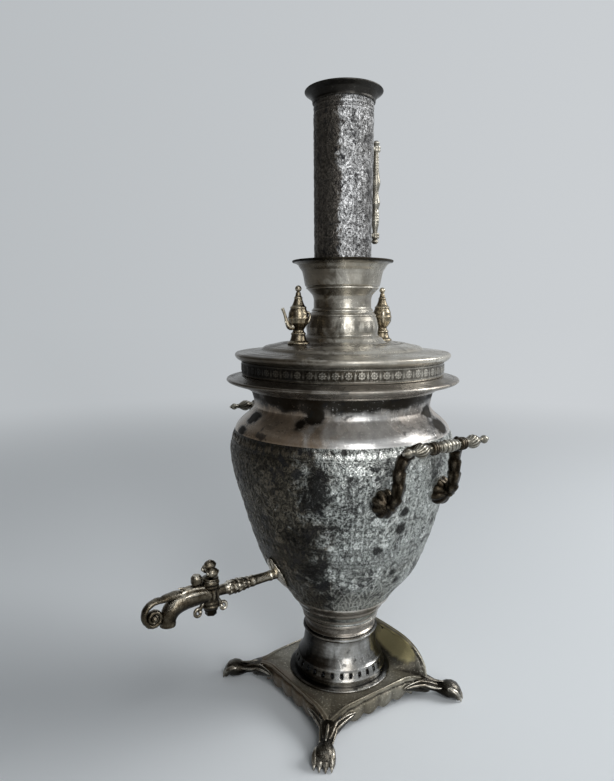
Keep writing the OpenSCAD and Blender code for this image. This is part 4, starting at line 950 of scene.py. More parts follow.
# Base sheet: dished square with a ridge along its edge, a tall rear lip and a scalloped apron
HALF, BASE_Z, LIP_H, BOW, APRON = 66.0, 24.0, 29.0, 4.0, 17.0
SEAT_R, HOLE_R, CORNER_DROP, CORNER_REACH = 58.0, 43.5, 5.5, 0.055
PAW_W, SCALLOPS, SIDE_STEPS = 20, 5, 60
NOTCH_U = 1 - (PAW_W / 2 * math.sqrt(2) + 1.5) / HALF
TOP_STEPS = [(s, 0.0) for s in (0.0, 0.08, 0.16, 0.25, 0.35, 0.46, 0.57, 0.68, 0.76)]
TOP_STEPS += [(0.8, 0.5), (0.84, 0.9), (0.88, 0.5), (0.92, 0.0), (0.96, 0.15), (1.0, 0.0)]
APRON_STEPS = [(t,) for t in (0.05, 0.1, 0.15, 0.2, 0.25, 0.3, 0.36, 0.44, 0.55, 0.66, 0.78, 0.88, 0.95, 1.0)]
BARE_SPOT, BARE_R = Vector((0.026, 0.064, 0.038)), 42


def side_place(angle):
    quarter = round(angle / (math.pi / 2))
    return quarter % 4, math.tan(angle - quarter * math.pi / 2)


def side_reach(angle):
    return HALF / max(abs(math.cos(angle)), abs(math.sin(angle)))


def edge_height(angle):
    quarter, u = side_place(angle)
    u = max(-1.0, min(1.0, u))
    return BASE_Z + BOW * (1 - u * u) + (LIP_H * math.sqrt(max(0, 1 - u ** 6)) if quarter == 1 else 0)


def sheet_point(angle, s, lift):
    r = SEAT_R + (side_reach(angle) - SEAT_R) * s
    z = SEAT_Z + (edge_height(angle) - SEAT_Z) * abs(s) ** 1.7 + lift
    return Vector((r * math.cos(angle), r * math.sin(angle), z)) * MM


def apron_point(angle, t):
    u, top = side_place(angle)[1], edge_height(angle)
    if abs(u) > NOTCH_U:
        low, shell = BASE_Z - 2.4, 0
    else:
        wave = abs(math.cos(math.pi / 2 * SCALLOPS * (u / NOTCH_U + 1)))
        low, shell = BASE_Z - APRON + 5 * (1 - wave), 1.8 * wave
    groove = 1.5 * math.exp(-(((top - low) * t - 4.2) / 1.1) ** 2)
    bulge = 1 + (shell * math.sin(math.pi * min(1, t * 1.1)) - 0.2 - groove) / HALF
    r = side_reach(angle) * bulge
    return Vector((r * math.cos(angle), r * math.sin(angle), top + (low - top) * t)) * MM


bm = bmesh.new()
ring = bmesh.ops.create_circle(bm, segments=4 * SIDE_STEPS, radius=1.0)["verts"]
for k, v in enumerate(ring):
    turn = (k // SIDE_STEPS) * math.pi / 2 + math.atan(-1 + 2 * (k % SIDE_STEPS) / SIDE_STEPS)
    v.co = Vector((math.cos(turn) * HOLE_R, math.sin(turn) * HOLE_R, SEAT_Z)) * MM
edges = edges_of(ring)
for point, where in [(sheet_point, q) for q in TOP_STEPS] + [(apron_point, q) for q in APRON_STEPS]:
    verts, edges = grown(bm, edges)
    for v in verts:
        v.co = point(turn_of(v), *where)
for v in bm.verts:
    corner = max(0.0, (min(abs(v.co.x), abs(v.co.y)) / (HALF * MM) - 0.6) / 0.4) ** 1.6
    v.co.xy *= 1 + CORNER_REACH * corner
    v.co.z -= CORNER_DROP * MM * corner
set_faces(bm)
rub_and_top_light(bm, 1.8)
bare = bm.verts.layers.float.new("bare")
for v in bm.verts:
    far = (v.co - BARE_SPOT).length / MM
    if v.co.y < (HALF - 0.3) * MM:
        v[bare] = max(0.0, 1 - (far / BARE_R) ** 2) * unit((v.co.z / MM - 27.5) / 9)
thicken(piece("base_sheet", bm, BASE_SILVER, "stand", "silver", "base_plate", fresh=False, sharp=50), 1.5, -1)


# Lion paw: a knee at the corner of the sheet, leaf wings under its edges, a crested leg and four toes with claws
LEG = [
    (80, 0, 15.0), (86, 0, 15.0), (92, 0, 14.4), (98, 0, 13.2), (104, 0, 11.6), (109, 0, 10.3), (113.5, 0, 9.6),
    (118.5, 0, 9.6), (123.5, 0, 9.3), (128.5, 0, 8.2), (132.5, 0, 6.6),
]
LEG_TALL = [2.6, 4.0, 5.2, 5.8, 5.6, 5.4, 6.8, 8.8, 9.2, 7.8, 4.6]
LEG_WIDE = [10.8, 11.4, 10.6, 8.8, 6.8, 6.0, 7.8, 9.8, 10.6, 9.8, 7.2]
KNEE_R = [0.7, 1.1, 1.4, 1.6, 1.7, 1.7, 1.6, 1.5, 1.4, 1.3, 1.2, 1.1, 1.0, 0.8, 0.5]
CREST_R = [0.5, 1.1, 1.5, 1.7, 1.8, 1.8, 1.7, 1.7, 1.6, 1.5, 1.3, 1.0, 0.5]
FUR = (
    [(96, 8.4, 15.6), (101, 7.4, 13.6), (107, 6.0, 11.4), (114, 6.6, 12.6)],
    [0.6, 1.0, 1.3, 1.4, 1.4, 1.3, 1.2, 1.0, 0.4], 8, 1.0, ALONG_Y)
WING = (
    [(101, 2, 11.5), (94.5, 5, 12.5), (86, 11.5, 17), (73, 24.5, 18.5)],
    [2.2, 2.4, 2.5, 2.5, 2.4, 2.3, 2.2, 2.1, 2.0, 1.8, 1.6, 1.4, 1.2, 0.9, 0.5], 18, 3.1, ALONG_Z)
VEIN = (
    [(98, 7, 15.5), (92, 10, 16), (85, 15, 18), (76, 23, 19)],
    [0.5, 1.0, 1.3, 1.4, 1.4, 1.3, 1.1, 0.9, 0.4], 8, 1.0, ALONG_Z)


def lion_paw(name, angle, node_name):
    bm = bmesh.new()
    verts = rod(bm, LEG, LEG_TALL, 28, 1.0, ALONG_Y)
    middles = [Vector(p) * MM for p in LEG]
    for v in verts:
        i = min(range(len(LEG)), key=lambda k: abs((v.co - middles[k]).dot(Vector((1, 0, -0.2)))))
        v.co.y *= LEG_WIDE[i] / LEG_TALL[i]
    knee = pull((84, 0, 19.6), (92, 0, 20.8), (100, 0, 19.0), (110, 0, 14.4), 14)
    rod(bm, knee, KNEE_R, 20, 5.2, ALONG_Y)
    crest = pull((95, 0, 20.4), (101, 0, 19.6), (106, 0, 15.2), (116, 0, 17.6), 12)
    rod(bm, crest, CREST_R, 10, 1.0, ALONG_Y)
    for side in (1, -1):
        for spine, radii, sides, wide, up in (FUR, WING, VEIN):
            points = [(x, y * side, z) for x, y, z in spine]
            rod(bm, pull(*points, len(radii) - 1), radii, sides, wide, up)
    for y in (-7.8, -2.7, 2.7, 7.8):
        tip = 134.0 - abs(y) * 0.34
        toe = [(-13, 0.8, 12.6), (-8, 0.92, 12.4), (-3.5, 1, 9.8), (-0.5, 1.04, 5.8), (0.8, 1.05, 2.8)]
        rod(bm, [(tip + x, y * wide, z) for x, wide, z in toe], [2.2, 3.4, 3.8, 3.4, 2.0], 14, 1.0, ALONG_Y)
        claw = [(0.6, 1.05, 5.4), (2.4, 1.07, 4.0), (3.2, 1.08, 1.8), (3.3, 1.08, 0.2)]
        rod(bm, [(tip + x, y * wide, z) for x, wide, z in claw], [1.4, 1.3, 0.9, 0.3], 8, 1.0, ALONG_Y)
    for v in bm.verts:
        v.co.z = max(v.co.z, 0.0)
    # Painted light: the top share lightens faces that look up and darkens those that look down
    rub_and_top_light(bm, 2.6, 2, 0.12, 0.02)
    rework_wear_and_shading(bm, lambda v, wear_and_shading: wear_and_shading + 0.16 * unit(1 - (v.co.x / MM - 106) / 8))
    set_at(bm, turned(math.radians(angle)))
    return piece(name, bm, CAST_PAW, "stand", "nickel", node_name, sharp=60)


for place_name, turn in (("front_right", -45), ("rear_right", 45), ("rear_left", 135), ("front_left", -135)):
    lion_paw("lion_paw_" + place_name, turn, "paw_" + place_name)


# Handles: leaf cast arms and turned grips with beads
GRIP_X, GRIP_Z, GRIP_HALF, ARM_GAP = 150.0, 307.0, 54, 18
ARM_FOOT_Z, ARM_SPREAD, ARM_BEND_X = 251.0, 36, 127
ARM_EYE = eased([
    (3.65, -3.5), (5.0, -3.5), (5.9, -2.2), (5.2, -0.9), (6.1, 0), (5.2, 0.9), (5.9, 2.2), (5.0, 3.5), (3.65, 3.5),
], 0.4, 2)
GRIP_KNOTS = [(5.2, 0), (3.6, 13.5), (3.6, 22.5), (6, 32.94), (2.52, 43.74), (3.96, 48.6), (1.44, GRIP_HALF)]


def handle_arm(name, side, half_turn, node_name):
    foot_r = vessel_r(ARM_FOOT_Z)
    spread = math.asin(ARM_SPREAD / foot_r)
    out = Vector((math.cos(spread), side * math.sin(spread), 0))
    foot = out * foot_r + Vector((0, 0, ARM_FOOT_Z))
    rise = GRIP_Z - ARM_FOOT_Z
    bend = Vector((ARM_BEND_X, side * ARM_SPREAD, ARM_FOOT_Z + rise * 0.5))
    top = Vector((GRIP_X, side * ARM_GAP, GRIP_Z))
    steep = Vector((0, 0, rise * 0.4))
    low = pull(foot, foot + out * ((ARM_BEND_X - foot.x) * 0.6) - Vector((0, 0, 6)), bend - steep, bend, 26)
    over = Vector(((GRIP_X - ARM_BEND_X) * 0.6, -side * (ARM_SPREAD - ARM_GAP) * 0.45, 0))
    path = low + pull(bend, bend + steep, top - over, top, 26)[1:]
    last = len(path) - 1
    radii = [5.3 * (0.8 + 0.3 * math.sin(math.pi * i / last)) for i in range(last + 1)]
    bm = bmesh.new()
    rod(bm, path, radii, 28, 1.0, ALONG_Y, scales(9, 5, 1.7))
    across = Vector((-out.y, out.x, 0))
    for v in ball(bm, foot + out * 1.5, (9.5, 13.5, 13.5), 48, 30):
        off = v.co / MM - foot
        a = math.atan2(off.z, off.dot(across))
        v.co += (off - out * off.dot(out)).normalized() * (1.5 * abs(math.cos(a * 4.5)) - 0.5) * MM
    for v in bm.verts:
        r, wall = radius_of(v), vessel_r(v.co.z / MM) - 0.5
        if r < wall:
            v.co.xy *= wall / r
    spun(bm, ARM_EYE, 32, True, Matrix.Translation(top * MM) @ turned(math.pi / 2, "X"))
    # Painted light: the top share lightens faces that look up and darkens those that look down
    rub_and_top_light(bm, 2.4, 2, 0.12, 0.1)
    set_at(bm, turned(math.pi if half_turn else 0))
    return piece(name, bm, ARM_BRONZE, "stand", "nickel", node_name, sharp=60)


def handle_grip(name, half_turn, node_name):
    half = [(r + (0.9 * abs(math.sin(z * 0.62)) if z < 12 else 0), z) for r, z in curve(GRIP_KNOTS, 108)]
    outline = [(0, -GRIP_HALF)] + [(r, -z) for r, z in reversed(half)] + half[1:] + [(0, GRIP_HALF)]
    bm = bmesh.new()
    spun(bm, outline, 48, False)
    for v in bm.verts:
        z = abs(v.co.z / MM)
        if 25 < z < 42:
            swirl = 6 * turn_of(v) + v.co.z / MM * 0.5
            k = math.sin(math.pi * (z - 25) / 17)
            v.co.xy *= 1 + 0.16 * k * abs(math.cos(swirl)) - 0.07 * k
    set_at(bm, at(GRIP_X, 0, GRIP_Z) @ turned(math.pi / 2, "X"))
    set_at(bm, turned(math.pi if half_turn else 0))
    # Painted light: the top share lightens faces that look up and darkens those that look down
    rub_and_top_light(bm, 2.6, 1, 0.12, 0.26)
    return piece(name, bm, PALE_NICKEL, "stand", "nickel", node_name, sharp=60)


handle_arm("handle_arm_right_front", -1, False, "right_front_arm")
handle_arm("handle_arm_right_rear", 1, False, "right_rear_arm")
handle_arm("handle_arm_left_front", 1, True, "left_front_arm")
handle_arm("handle_arm_left_rear", -1, True, "left_rear_arm")
handle_grip("handle_grip_right", False, "right_grip")
handle_grip("handle_grip_left", True, "left_grip")


# Tap: shank, barrel, spout with leaves, crest and curls
SPOUT_REACH, SPOUT_DROP, SPOUT_STEPS = 44, 19, 22
FLUTES_LOW, FLUTES_HIGH, SCALE_ROW = 150, 162, 5


def spout_point(t):
    start, end = Vector((0, BARREL_Y, TAP_Z)), Vector((0, SPOUT_Y, TAP_Z - SPOUT_DROP))
    rise = Vector((0, BARREL_Y - SPOUT_REACH * 0.62, TAP_Z + 3))
    return bezier(start, rise, end + Vector((0, 0, SPOUT_DROP * 1.1)), end, t)


def spout_r(t):
    return 9 * (0.84 + 0.2 * math.sin(math.pi * t ** 0.8) - 0.06 * t)


at_barrel = at(0, BARREL_Y, 0)
bm = bmesh.new()
shank_line = eased([
    (0, 61), (5, 61), (5, 86.6), (4.8, 89.6), (5.6, 92), (4.8, 94), (4.9, 98), (5.2, 110), (6.0, 113), (5.4, 116),
    (6.6, 126), (7.0, 134), (6.6, 140), (5.2, 143), (4.8, 154), (0, 154),
], 1.2)
for v in spun(bm, dense(shank_line, 1.0), 48, False, at(0, 0, TAP_Z) @ turned(math.pi / 2, "X")):
    y = -v.co.y / MM
    out = Vector((v.co.x, 0, v.co.z - TAP_Z * MM))
    if 117 < y < 143 and out.length > 1e-5:
        around = math.atan2(v.co.z / MM - TAP_Z, v.co.x / MM)
        row = y / SCALE_ROW
        scale = abs(math.cos(around * 4 + math.pi / 2 * (int(row) % 2))) * (row % 1)
        v.co += out.normalized() * (1.1 * scale - 0.4) * MM
barrel = eased([
    (0, 141.5), (7.5, 141.5), (9, 144.5), (8.2, 146.5), (8.6, 148), (8.0, 150), (8.0, 162), (8.6, 164), (8.2, 165.5),
    (9, 167.5), (8, 170.5), (6.3, 170.5), (6.3, 168), (0, 168),
], 0.8)
for v in spun(bm, dense(barrel, 1.0), 48, False, at_barrel):
    z = v.co.z / MM
    if FLUTES_LOW < z < FLUTES_HIGH:
        around = math.atan2(v.co.y / MM - BARREL_Y, v.co.x / MM)
        out = Vector((v.co.x, v.co.y - BARREL_Y * MM, 0)).normalized()
        fade = math.sin(math.pi * (z - FLUTES_LOW) / (FLUTES_HIGH - FLUTES_LOW))
        v.co += out * (1.4 * abs(math.cos(around * 5)) ** 2 * fade) * MM
places = [i / SPOUT_STEPS for i in range(SPOUT_STEPS + 1)]
radii = [spout_r(t) for t in places]
rod(bm, [spout_point(t) for t in places], radii[:-2] + [r * 1.06 for r in radii[-2:]], 28)
mouth = [f for f in bm.faces if len(f.verts) > 20 and f.calc_center_median().z < 0.139 and abs(f.normal.z) > 0.9]
bmesh.ops.inset_region(bm, faces=mouth, thickness=2.6 * MM)
bmesh.ops.translate(bm, verts=list({v for f in mouth for v in f.verts}), vec=(0, 0, 9 * MM))
# Leaves along the top of the spout
for lean, length in ((-0.9, 20), (-0.3, 25), (0.3, 25), (0.9, 20)):
    points, widths = [], []
    for i in range(9):
        t = 0.1 + i / 8 * length / 62
        way = (spout_point(t + 0.01) - spout_point(t - 0.01)).normalized()
        out = ALONG_X * math.sin(lean) - ALONG_X.cross(way) * math.cos(lean)
        points.append(spout_point(t) + out * (spout_r(t) - 0.3))
        widths.append(0.3 + 2.3 * math.sin(math.pi * (0.15 + 0.85 * i / 8)) ** 0.8)
    rod(bm, points, widths, 8)
# Crest with its spike
crest_y = BARREL_Y - 2.05 * 4.4 - 0.6 - 4.6
crest = [(0, 156), (4.4, 156), (4.4, 166.6), (3.8, 168), (5.4, 170.4), (5.4, 175.4), (3.4, 178), (0, 178)]
spun(bm, eased(crest, 0.6, 3), 32, False, at(0, crest_y, 0))
root = Vector((0, crest_y - 2.3, 165.2))
tip = root - Vector((0, 16.3, -4.4))
spike = pull(root, root - Vector((0, 5.6, 1)), tip + Vector((0, 5.6, -1)), tip, 8)
rod(bm, spike, [2.5, 2.4, 2.3, 2.2, 2.0, 1.7, 1.3, 0.9, 0.4], 12)
# Curls under the barrel
for side in (1, -1):
    middle = Vector((0, BARREL_Y + side * 13.0, 139.2))
    coil = []
    for i in range(22):
        a = math.radians(120 - 330 * i / 21)
        r = 4.6 * (1 - 0.55 * i / 21)
        coil.append(middle + Vector((0, side * math.cos(a) * r, math.sin(a) * r)))
    root = Vector((0, BARREL_Y + side * 6.8, 149.6))
    stalk = [root.lerp(coil[0], i / 4) for i in range(4)]
    rod(bm, stalk + coil, [2.1] * 4 + [2.0 - 0.035 * i for i in range(22)], 12)
    ball(bm, coil[-1], (2.3, 2.3, 2.3), 10, 7)
# Painted light: the top share lightens faces that look up and darkens those that look down
rub_and_top_light(bm, 2.2, 2, 0.36, 0.21)
rework_wear_and_shading(bm, lambda v, wear_and_shading: wear_and_shading + (0.25 if v.co.y > (BARREL_Y + 14) * MM else 0))
piece("tap_casting", bm, CAST_NICKEL, "stand", "nickel", "tap_body", sharp=55)

# Volute in front of the spout
VOLUTE_STEPS = 80
bm = bmesh.new()
middle = Vector((0, SPOUT_Y - 13.2, TAP_Z - 8))
coil = []
for i in range(VOLUTE_STEPS + 1):
    t = i / VOLUTE_STEPS
    a = math.radians(62 + 720 * t)
    r = 8.8 * (1 - 0.72 * t) + 8.0 * max(0, 1 - 5 * t) ** 1.3
    coil.append(middle + Vector((0, math.cos(a) * r, math.sin(a) * r)))
start = spout_point(0.46) + Vector((0, 0, 7.6))
stalk = pull(start, start + Vector((0, -4, 2)), coil[0] + Vector((0, 6, 1)), coil[0], 8)
radii = [3.2] * 8 + [2.7 * (1 - 0.3 * i / VOLUTE_STEPS) for i in range(VOLUTE_STEPS + 1)]
rod(bm, stalk[:-1] + coil, radii, 16, 1.6, ALONG_X, scales(26, 3, 0.5))
ball(bm, middle, (5.6, 3.6, 3.6), 18, 12)
# Painted light: the top share lightens faces that look up and darkens those that look down
rub_and_top_light(bm, 2.2, 2, 0.2, 0.14)
piece("tap_volute", bm, CAST_NICKEL, "stand", "nickel", "tap_scroll", sharp=60)

# Key with a trefoil knob
plug = [
    (0, 134.7), (2.4, 134.7), (2.4, 141.5), (5.2, 141.5), (6.2, 170.5), (5.8, 170.6), (8, 170.8), (8.2, 171.6),
    (7.6, 172.4), (4.4, 173.0), (3.2, 174.4), (3.0, 176.5), (4.2, 178), (3.2, 181), (3.0, 184), (0, 184),
]
bm = bmesh.new()
spun(bm, eased(plug, 0.5, 3), 36, False, at_barrel)
for x, z, r in ((-5.7, 178.9, 4.7), (5.7, 178.9, 4.7), (0, 184.2, 4.9)):
    ball(bm, (x, BARREL_Y, z), (r, r * 1.25, r), 18, 12)
    for side in (-1, 1):
        ball(bm, (x, BARREL_Y + side * 5.2, z), (1.9, 1.4, 1.9), 10, 7)
ball(bm, (0, BARREL_Y, 188.4), (1.6, 1.6, 1.3), 10, 7)
# Painted light: the top share lightens faces that look up and darkens those that look down
rub_and_top_light(bm, 2.0, 2, 0.1, 0.28)
piece("key_trefoil", bm, CAST_NICKEL, "key", "nickel", "tap_key", sharp=55)

# Escutcheon leaf behind the tap, bent to the vessel
PLATE_HALF_W, PLATE_HALF_H = 13, 19
bm = bmesh.new()
for v in bmesh.ops.create_grid(bm, x_segments=36, y_segments=48, size=1.0)["verts"]:
    across, up = v.co.x, v.co.y
    x = across * PLATE_HALF_W * max(0.02, 1 - abs(up) ** 2.0) ** 0.85
    z = TAP_Z + PLATE_HALF_H * up
    veins = 0.5 * abs(math.sin(up * 13 + abs(across) * 4)) * abs(across) ** 0.5
    dome = 1.5 * (1 - across * across) * (1 - up * up) ** 0.5
    r = vessel_r(z) + max(0.3, 1.0 + dome + veins - 0.9 * math.exp(-((across / 0.09) ** 2)))
    v.co = Vector((x, -math.sqrt(max(1, r * r - x * x)), z)) * MM
set_faces(bm)
rub_and_top_light(bm, 2.4, 1)
rework_wear_and_shading(bm, lambda v, wear_and_shading: wear_and_shading * 1.5)
thicken(piece("tap_leaf_plate", bm, CAST_NICKEL, "stand", "nickel", "tap_leaf", fresh=False, sharp=60), 1.0, 0)

# Lid: skirt, flange, ringed dome and a collar with leaves
lid_out = [(94.8, 346.85), (94.8, LID_Z), (105, LID_Z), (105.6, 360.4)]
lid_rise = [
    (105.6, 372.6), (106.6, 373.3), (109.5, 374.6), (111.8, 376.6), (112.8, 378.6), (112.4, 380.4), (110.8, 381.6),
    (105, 382.2), (104.2, 381.8), (103.2, 382.4), (97, 383.0), (96.2, 382.6), (95.2, 383.2), (85.5, 384.4),
    (83.5, 386.2), (81.5, 387.6), (78.5, 388.3), (77.7, 387.9), (76.6, 388.6), (66.5, 390.9), (65.8, 390.4),
    (64.8, 390.85), (46.2, 391.4), (44, 393.2), (41, 396.85), (38.4, 398.4), (37, 400.03), (37.4, 402),
    (37.6, 407.45), (36.5, 414.87), (35.0, 418.6), (35.6, 419.6), (34.6, 420.6), (33.6, 421.6), (32.4, 422.6),
    (32, COLLAR_Z),
]
lid_in = [
    (28.2, COLLAR_Z), (28.2, 422.05), (32, 421.66), (35.2, 414.3), (36.3, 407.45), (35.7, 399.5), (39.7, 395.5),
    (45.5, 390.15), (66.5, 389.4), (75.5, 387.6), (80.8, 385.1), (84.8, 381.1), (104.7, 376.9), (104.7, 360.15),
    (93.5, 360.15), (93.5, 346.85),
]
bm = bmesh.new()
spun(bm, eased(lid_out, 0.6, 2) + eased(lid_rise, 0.7, 3) + eased(lid_in, 0.8, 2), 256)
rub_and_top_light(bm, 1.5)
layer = bm.verts.layers.float["wear_and_shading"]
for v in bm.verts:
    z = v.co.z / MM
    if 402 < z < 413 and radius_of(v) > 36:
        across = np.array([((turn_of(v) / FULL_TURN * 24) % 1 - 0.5) * 9.7])
        h = leaf(across, np.array([z - 402.5]), 9.5, 5.5, UPWARD)[0]
        v.co += v.normal * 0.3 * h * MM
        v[layer] = 0.42 + 0.3 * h
# Painted shade down the side where the right softbox's highlight falls
shade_side(bm, 0.15, 0.5, 0.26, 392)
piece("lid_dome", bm, LID_NICKEL, "lid", "nickel", "lid", fresh=False)


# Chased rings of the lid: roundels and leaves on its band, small leaves on its dome
def band_panel(p, s, w):
    x = p * w
    shapes = [rosette(x, s - 6, 4.2, 8), leaf(np.abs(x) - w / 2, s - 1.6, 8.8, 3.0, UPWARD)]
    return np.maximum.reduce(shapes + [0.8 * ring_line(s, level, 1.0) for level in (0.8, 11.2)])


def dome_panel(p, s, w):
    x = p * w
    shapes = [leaf(x, s - 1.5, 8, 4.6, UPWARD), leaf(np.abs(x) - w / 2, s - 8, 7, 4.2, UPWARD)]
    shapes += [rosette(x, s - 12.6, 2.3, 5), rosette(np.abs(x) - w / 2, s - 4, 2.2, 5), 0.7 * ring_line(s, 0.8, 1.2)]
    return np.maximum.reduce(shapes)


# Painted light on the lid band: its value is raised round the side the lights face and lowered away from it, with
# noise
def band_light(v, wear_and_shading):
    turn = turn_of(v)
    lit = 0.72 + 0.5 * math.cos(turn - 0.25) + 0.2 * lumpy.noise(v.co * 45) + 0.12 * math.sin(turn * 5 + 1)
    return (0.17 + 0.3 * wear_and_shading) * lit


band_line = [(106.0, z) for z in np.linspace(360.5, 372.5, 19)]
band_back = [(105.3, 372.5), (105.3, 360.5)]
bm = chased(band_line + band_back, 19, 896, 56, band_panel, 12, 1.0, depth=0.5, sunk=0.12, ground=0.08)
rework_wear_and_shading(bm, band_light)
piece("lid_band", bm, LID_NICKEL, "lid", "nickel", fresh=False)
dome_line = even_run([(64.4, 391.0), (47.4, 391.5)], 24)
dome_back = [(47.4, 390.9), (64.4, 390.4)]
bm = chased(dome_line + dome_back, 24, 448, 56, dome_panel, 17, 1.0, depth=0.4, sunk=0.0, ground=0.36)
piece("lid_dome_ring", bm, LID_NICKEL, "lid", "nickel", fresh=False)

# Jug shaped knobs on the lid
FULLER, KNOB_Z, KNOB_Y = 1.16, 391.34, -56
JUG = [
    (0, 0), (9.9, 0), (9.6, 1.6), (7.4, 3.2), (6.6, 6), (6.0, 9), (6.8, 10.2), (5.2, 12), (4.6, 14), (6.4, 17),
    (8.4, 21), (8.7, 24), (9.3, 26), (8.6, 27.6), (8.4, 31), (6.8, 35), (7.2, 36.6), (5.6, 38), (4.4, 41),
    (3.4, 44.5), (3.8, 46), (2.6, 47.4), (2.0, 51.6), (0, 51.6),
]
BEAK_R = [3.2, 3.1, 2.9, 2.7, 2.5, 2.2, 2.0, 1.8, 1.6, 1.5, 1.4, 1.5, 1.8]


def jug_knob(name, half_turn, beak_turn, node_name):
    bm = bmesh.new()
    for v in spun(bm, eased([(r * FULLER, z) for r, z in JUG], 1.0, 3), 40, False):
        z = v.co.z / MM
        if 14 < z < 26:
            v.co.xy *= 1 + 0.05 * math.sin(math.pi * (z - 14) / 12) * math.cos(10 * turn_of(v))
    ball(bm, (0, 0, 54.7), (3.3, 3.3, 3.3), 16, 11)
    beak = pull((0, -7, 17.4), (0, -14, 13.5), (0, -13.6, 26), (0, -19, 35.4), 12)
    rod(bm, beak, BEAK_R, 14)
    spur = pull((0, -11.8, 20), (0, -14.4, 20), (0, -16.4, 22), (0, -14.8, 24.6), 6)
    rod(bm, spur, [1.4, 1.4, 1.3, 1.2, 1.1, 1.0, 0.6], 8)
    ear = pull((0, 8.4, 31), (0, 16.2, 34), (0, 16.2, 22), (0, 8.6, 19.5), 14)
    rod(bm, ear, [1.4] * 15, 10)
    # Painted light: the top share lightens faces that look up and darkens those that look down
    rub_and_top_light(bm, 2.0, 2, 0.05, 0.3)
    seat = turned(math.pi if half_turn else 0) @ at(0, KNOB_Y, KNOB_Z)
    set_at(bm, seat @ turned(math.radians(beak_turn)))
    return piece(name, bm, KNOB_GILT, "lid", "nickel", node_name, sharp=55)


jug_knob("jug_knob_front", False, 0, "front_knob")
jug_knob("jug_knob_rear", True, 52, "rear_knob")

# Crown: waist, fold and flared rim
crown = eased([
    (28.0, CROWN_Z), (32, CROWN_Z), (32.3, 424.6), (31.6, 425.6), (30.6, 426.4), (30, 427.6), (30, 436.13),
    (30.8, 439.2), (31.6, LEDGE_Z), (36.6, 446.2), (37.6, 446.6), (37.9, 447.6), (37.5, 448.4), (39.1, 450.05),
    (40.9, 460.05), (42.2, 465), (44.1, 467.33), (46.2, 471), (49.5, 473.05), (52, 473.6), (52.5, 474.6),
    (52.4, 475.4), (51.6, CROWN_TOP), (50.5, CROWN_TOP), (48, 473.65), (42.6, 467.85), (39.5, 460.57), (37.7, 450.45),
    (35.8, 447.45), (29.3, 441.41), (29.3, LEDGE_Z), (28.0, LEDGE_Z),
], 0.9)
bm = bmesh.new()
spun(bm, crown, 176)
rub_and_top_light(bm, 1.5)
# Painted shade: the top of the flared rim is darkened
rework_wear_and_shading(bm, lambda v, wear_and_shading: wear_and_shading * (1 - 0.85 * unit((v.co.z / MM - 472.4) / 1.2)))
# Painted shade down the side where the right softbox's highlight falls
shade_side(bm, 0.25, 0.5, 0.3)
piece("crown_ring", bm, LID_NICKEL, "crown", "nickel", "crown")

# Chimney pipe with its flared lip, turned bar and brackets
PIPE_ROWS, PIPE_R, PIPE_SPREAD, PIPE_L = 222, 29, 1.5, 196
shares = [i / (PIPE_ROWS - 1) for i in range(PIPE_ROWS)]
rows = [(PIPE_R + PIPE_SPREAD * t, PIPE_Z + PIPE_L * t) for t in shares]
bore = [(29.3, PIPE_TOP), (27.8, PIPE_Z)]
bm = chased(rows + bore, PIPE_ROWS, 288, 4, pipe_panel, PIPE_L, 1.0, depth=0.45, sunk=0.15, ground=0.5)
# Painted shade down the side where the right softbox's highlight falls
shade_side(bm, 0.3, 0.55, 0.42)
piece("flue_pipe", bm, PIPE_SILVER, "chimney", "silver", "chimney_pipe", fresh=False)

lip = eased([
    (30.55, 629.91), (31.55, 629.91), (31.9, 631), (31.6, 632.2), (32.15, 633.5), (34.6, 637.6), (37, 639),
    (38.5, 639.88), (39.5, 640.6), (39.5, 641.2), (38.7, LIP_TOP), (35, 640.7), (28.8, 640.16), (28.8, 637.16),
    (30.55, 637.16),
], 0.6)
lathe("flue_lip", lip, 128, LIP_SILVER, "chimney", "dark_silver", "chimney_lip")

BAR_Y, BAR_LOW, BAR_L = 44.0, 495.11, 106.0
bar_knots = [
    (2.08, 0), (3.9, 2.12), (2.6, 5.48), (2.6, 12.48), (4, 21.2), (3.5, 36.04), (5, 42.4), (3.12, 53), (5, 63.6),
    (3, 76.32), (2.6, 93.52), (2.6, 100.52), (3.9, 103.88), (2.08, BAR_L),
]
bar = []
for r, z in curve(bar_knots, 160):
    beaded = 23 < z < 35 or 72 < z < 92
    bar.append((r + (0.35 * abs(math.sin(z * 1.1)) if beaded else 0), z))
bm = bmesh.new()
spun(bm, [(0, 0)] + bar + [(0, BAR_L)], 36, False, at(0, BAR_Y, BAR_LOW))
rub_and_top_light(bm, 2.0, 2, 0.0, 0.36)
piece("flue_handle", bm, PALE_NICKEL, "chimney", "nickel", "chimney_handle", sharp=60)

bracket_eye = [(2.65, -3), (4.3, -3), (4.8, -1.6), (4.4, 0), (4.8, 1.6), (4.3, 3), (2.65, 3)]
for name, level in (("lower", 503.59), ("upper", 592.63)):
    bm = bmesh.new()
    spun(bm, eased(bracket_eye, 0.5, 2), 32, True, at(0, BAR_Y, level))
    wall = PIPE_R + PIPE_SPREAD * (level - PIPE_Z) / PIPE_L
    post = [(0, -0.1), (4.8, -0.1), (4.9, 1.2), (3.2, 2.4), (2.3, 4)]
    post = [(r, wall + z) for r, z in post] + [(2.4, 39), (3.2, 40.2), (0, 40.2)]
    spun(bm, eased(post, 0.6, 3), 28, False, at(0, 0, level) @ turned(-math.pi / 2, "X"))
    rub_and_top_light(bm, 2.0, 2, 0.0, 0.36)
    piece("flue_bracket_" + name, bm, PALE_NICKEL, "chimney", "nickel", name + "_bracket", sharp=55)

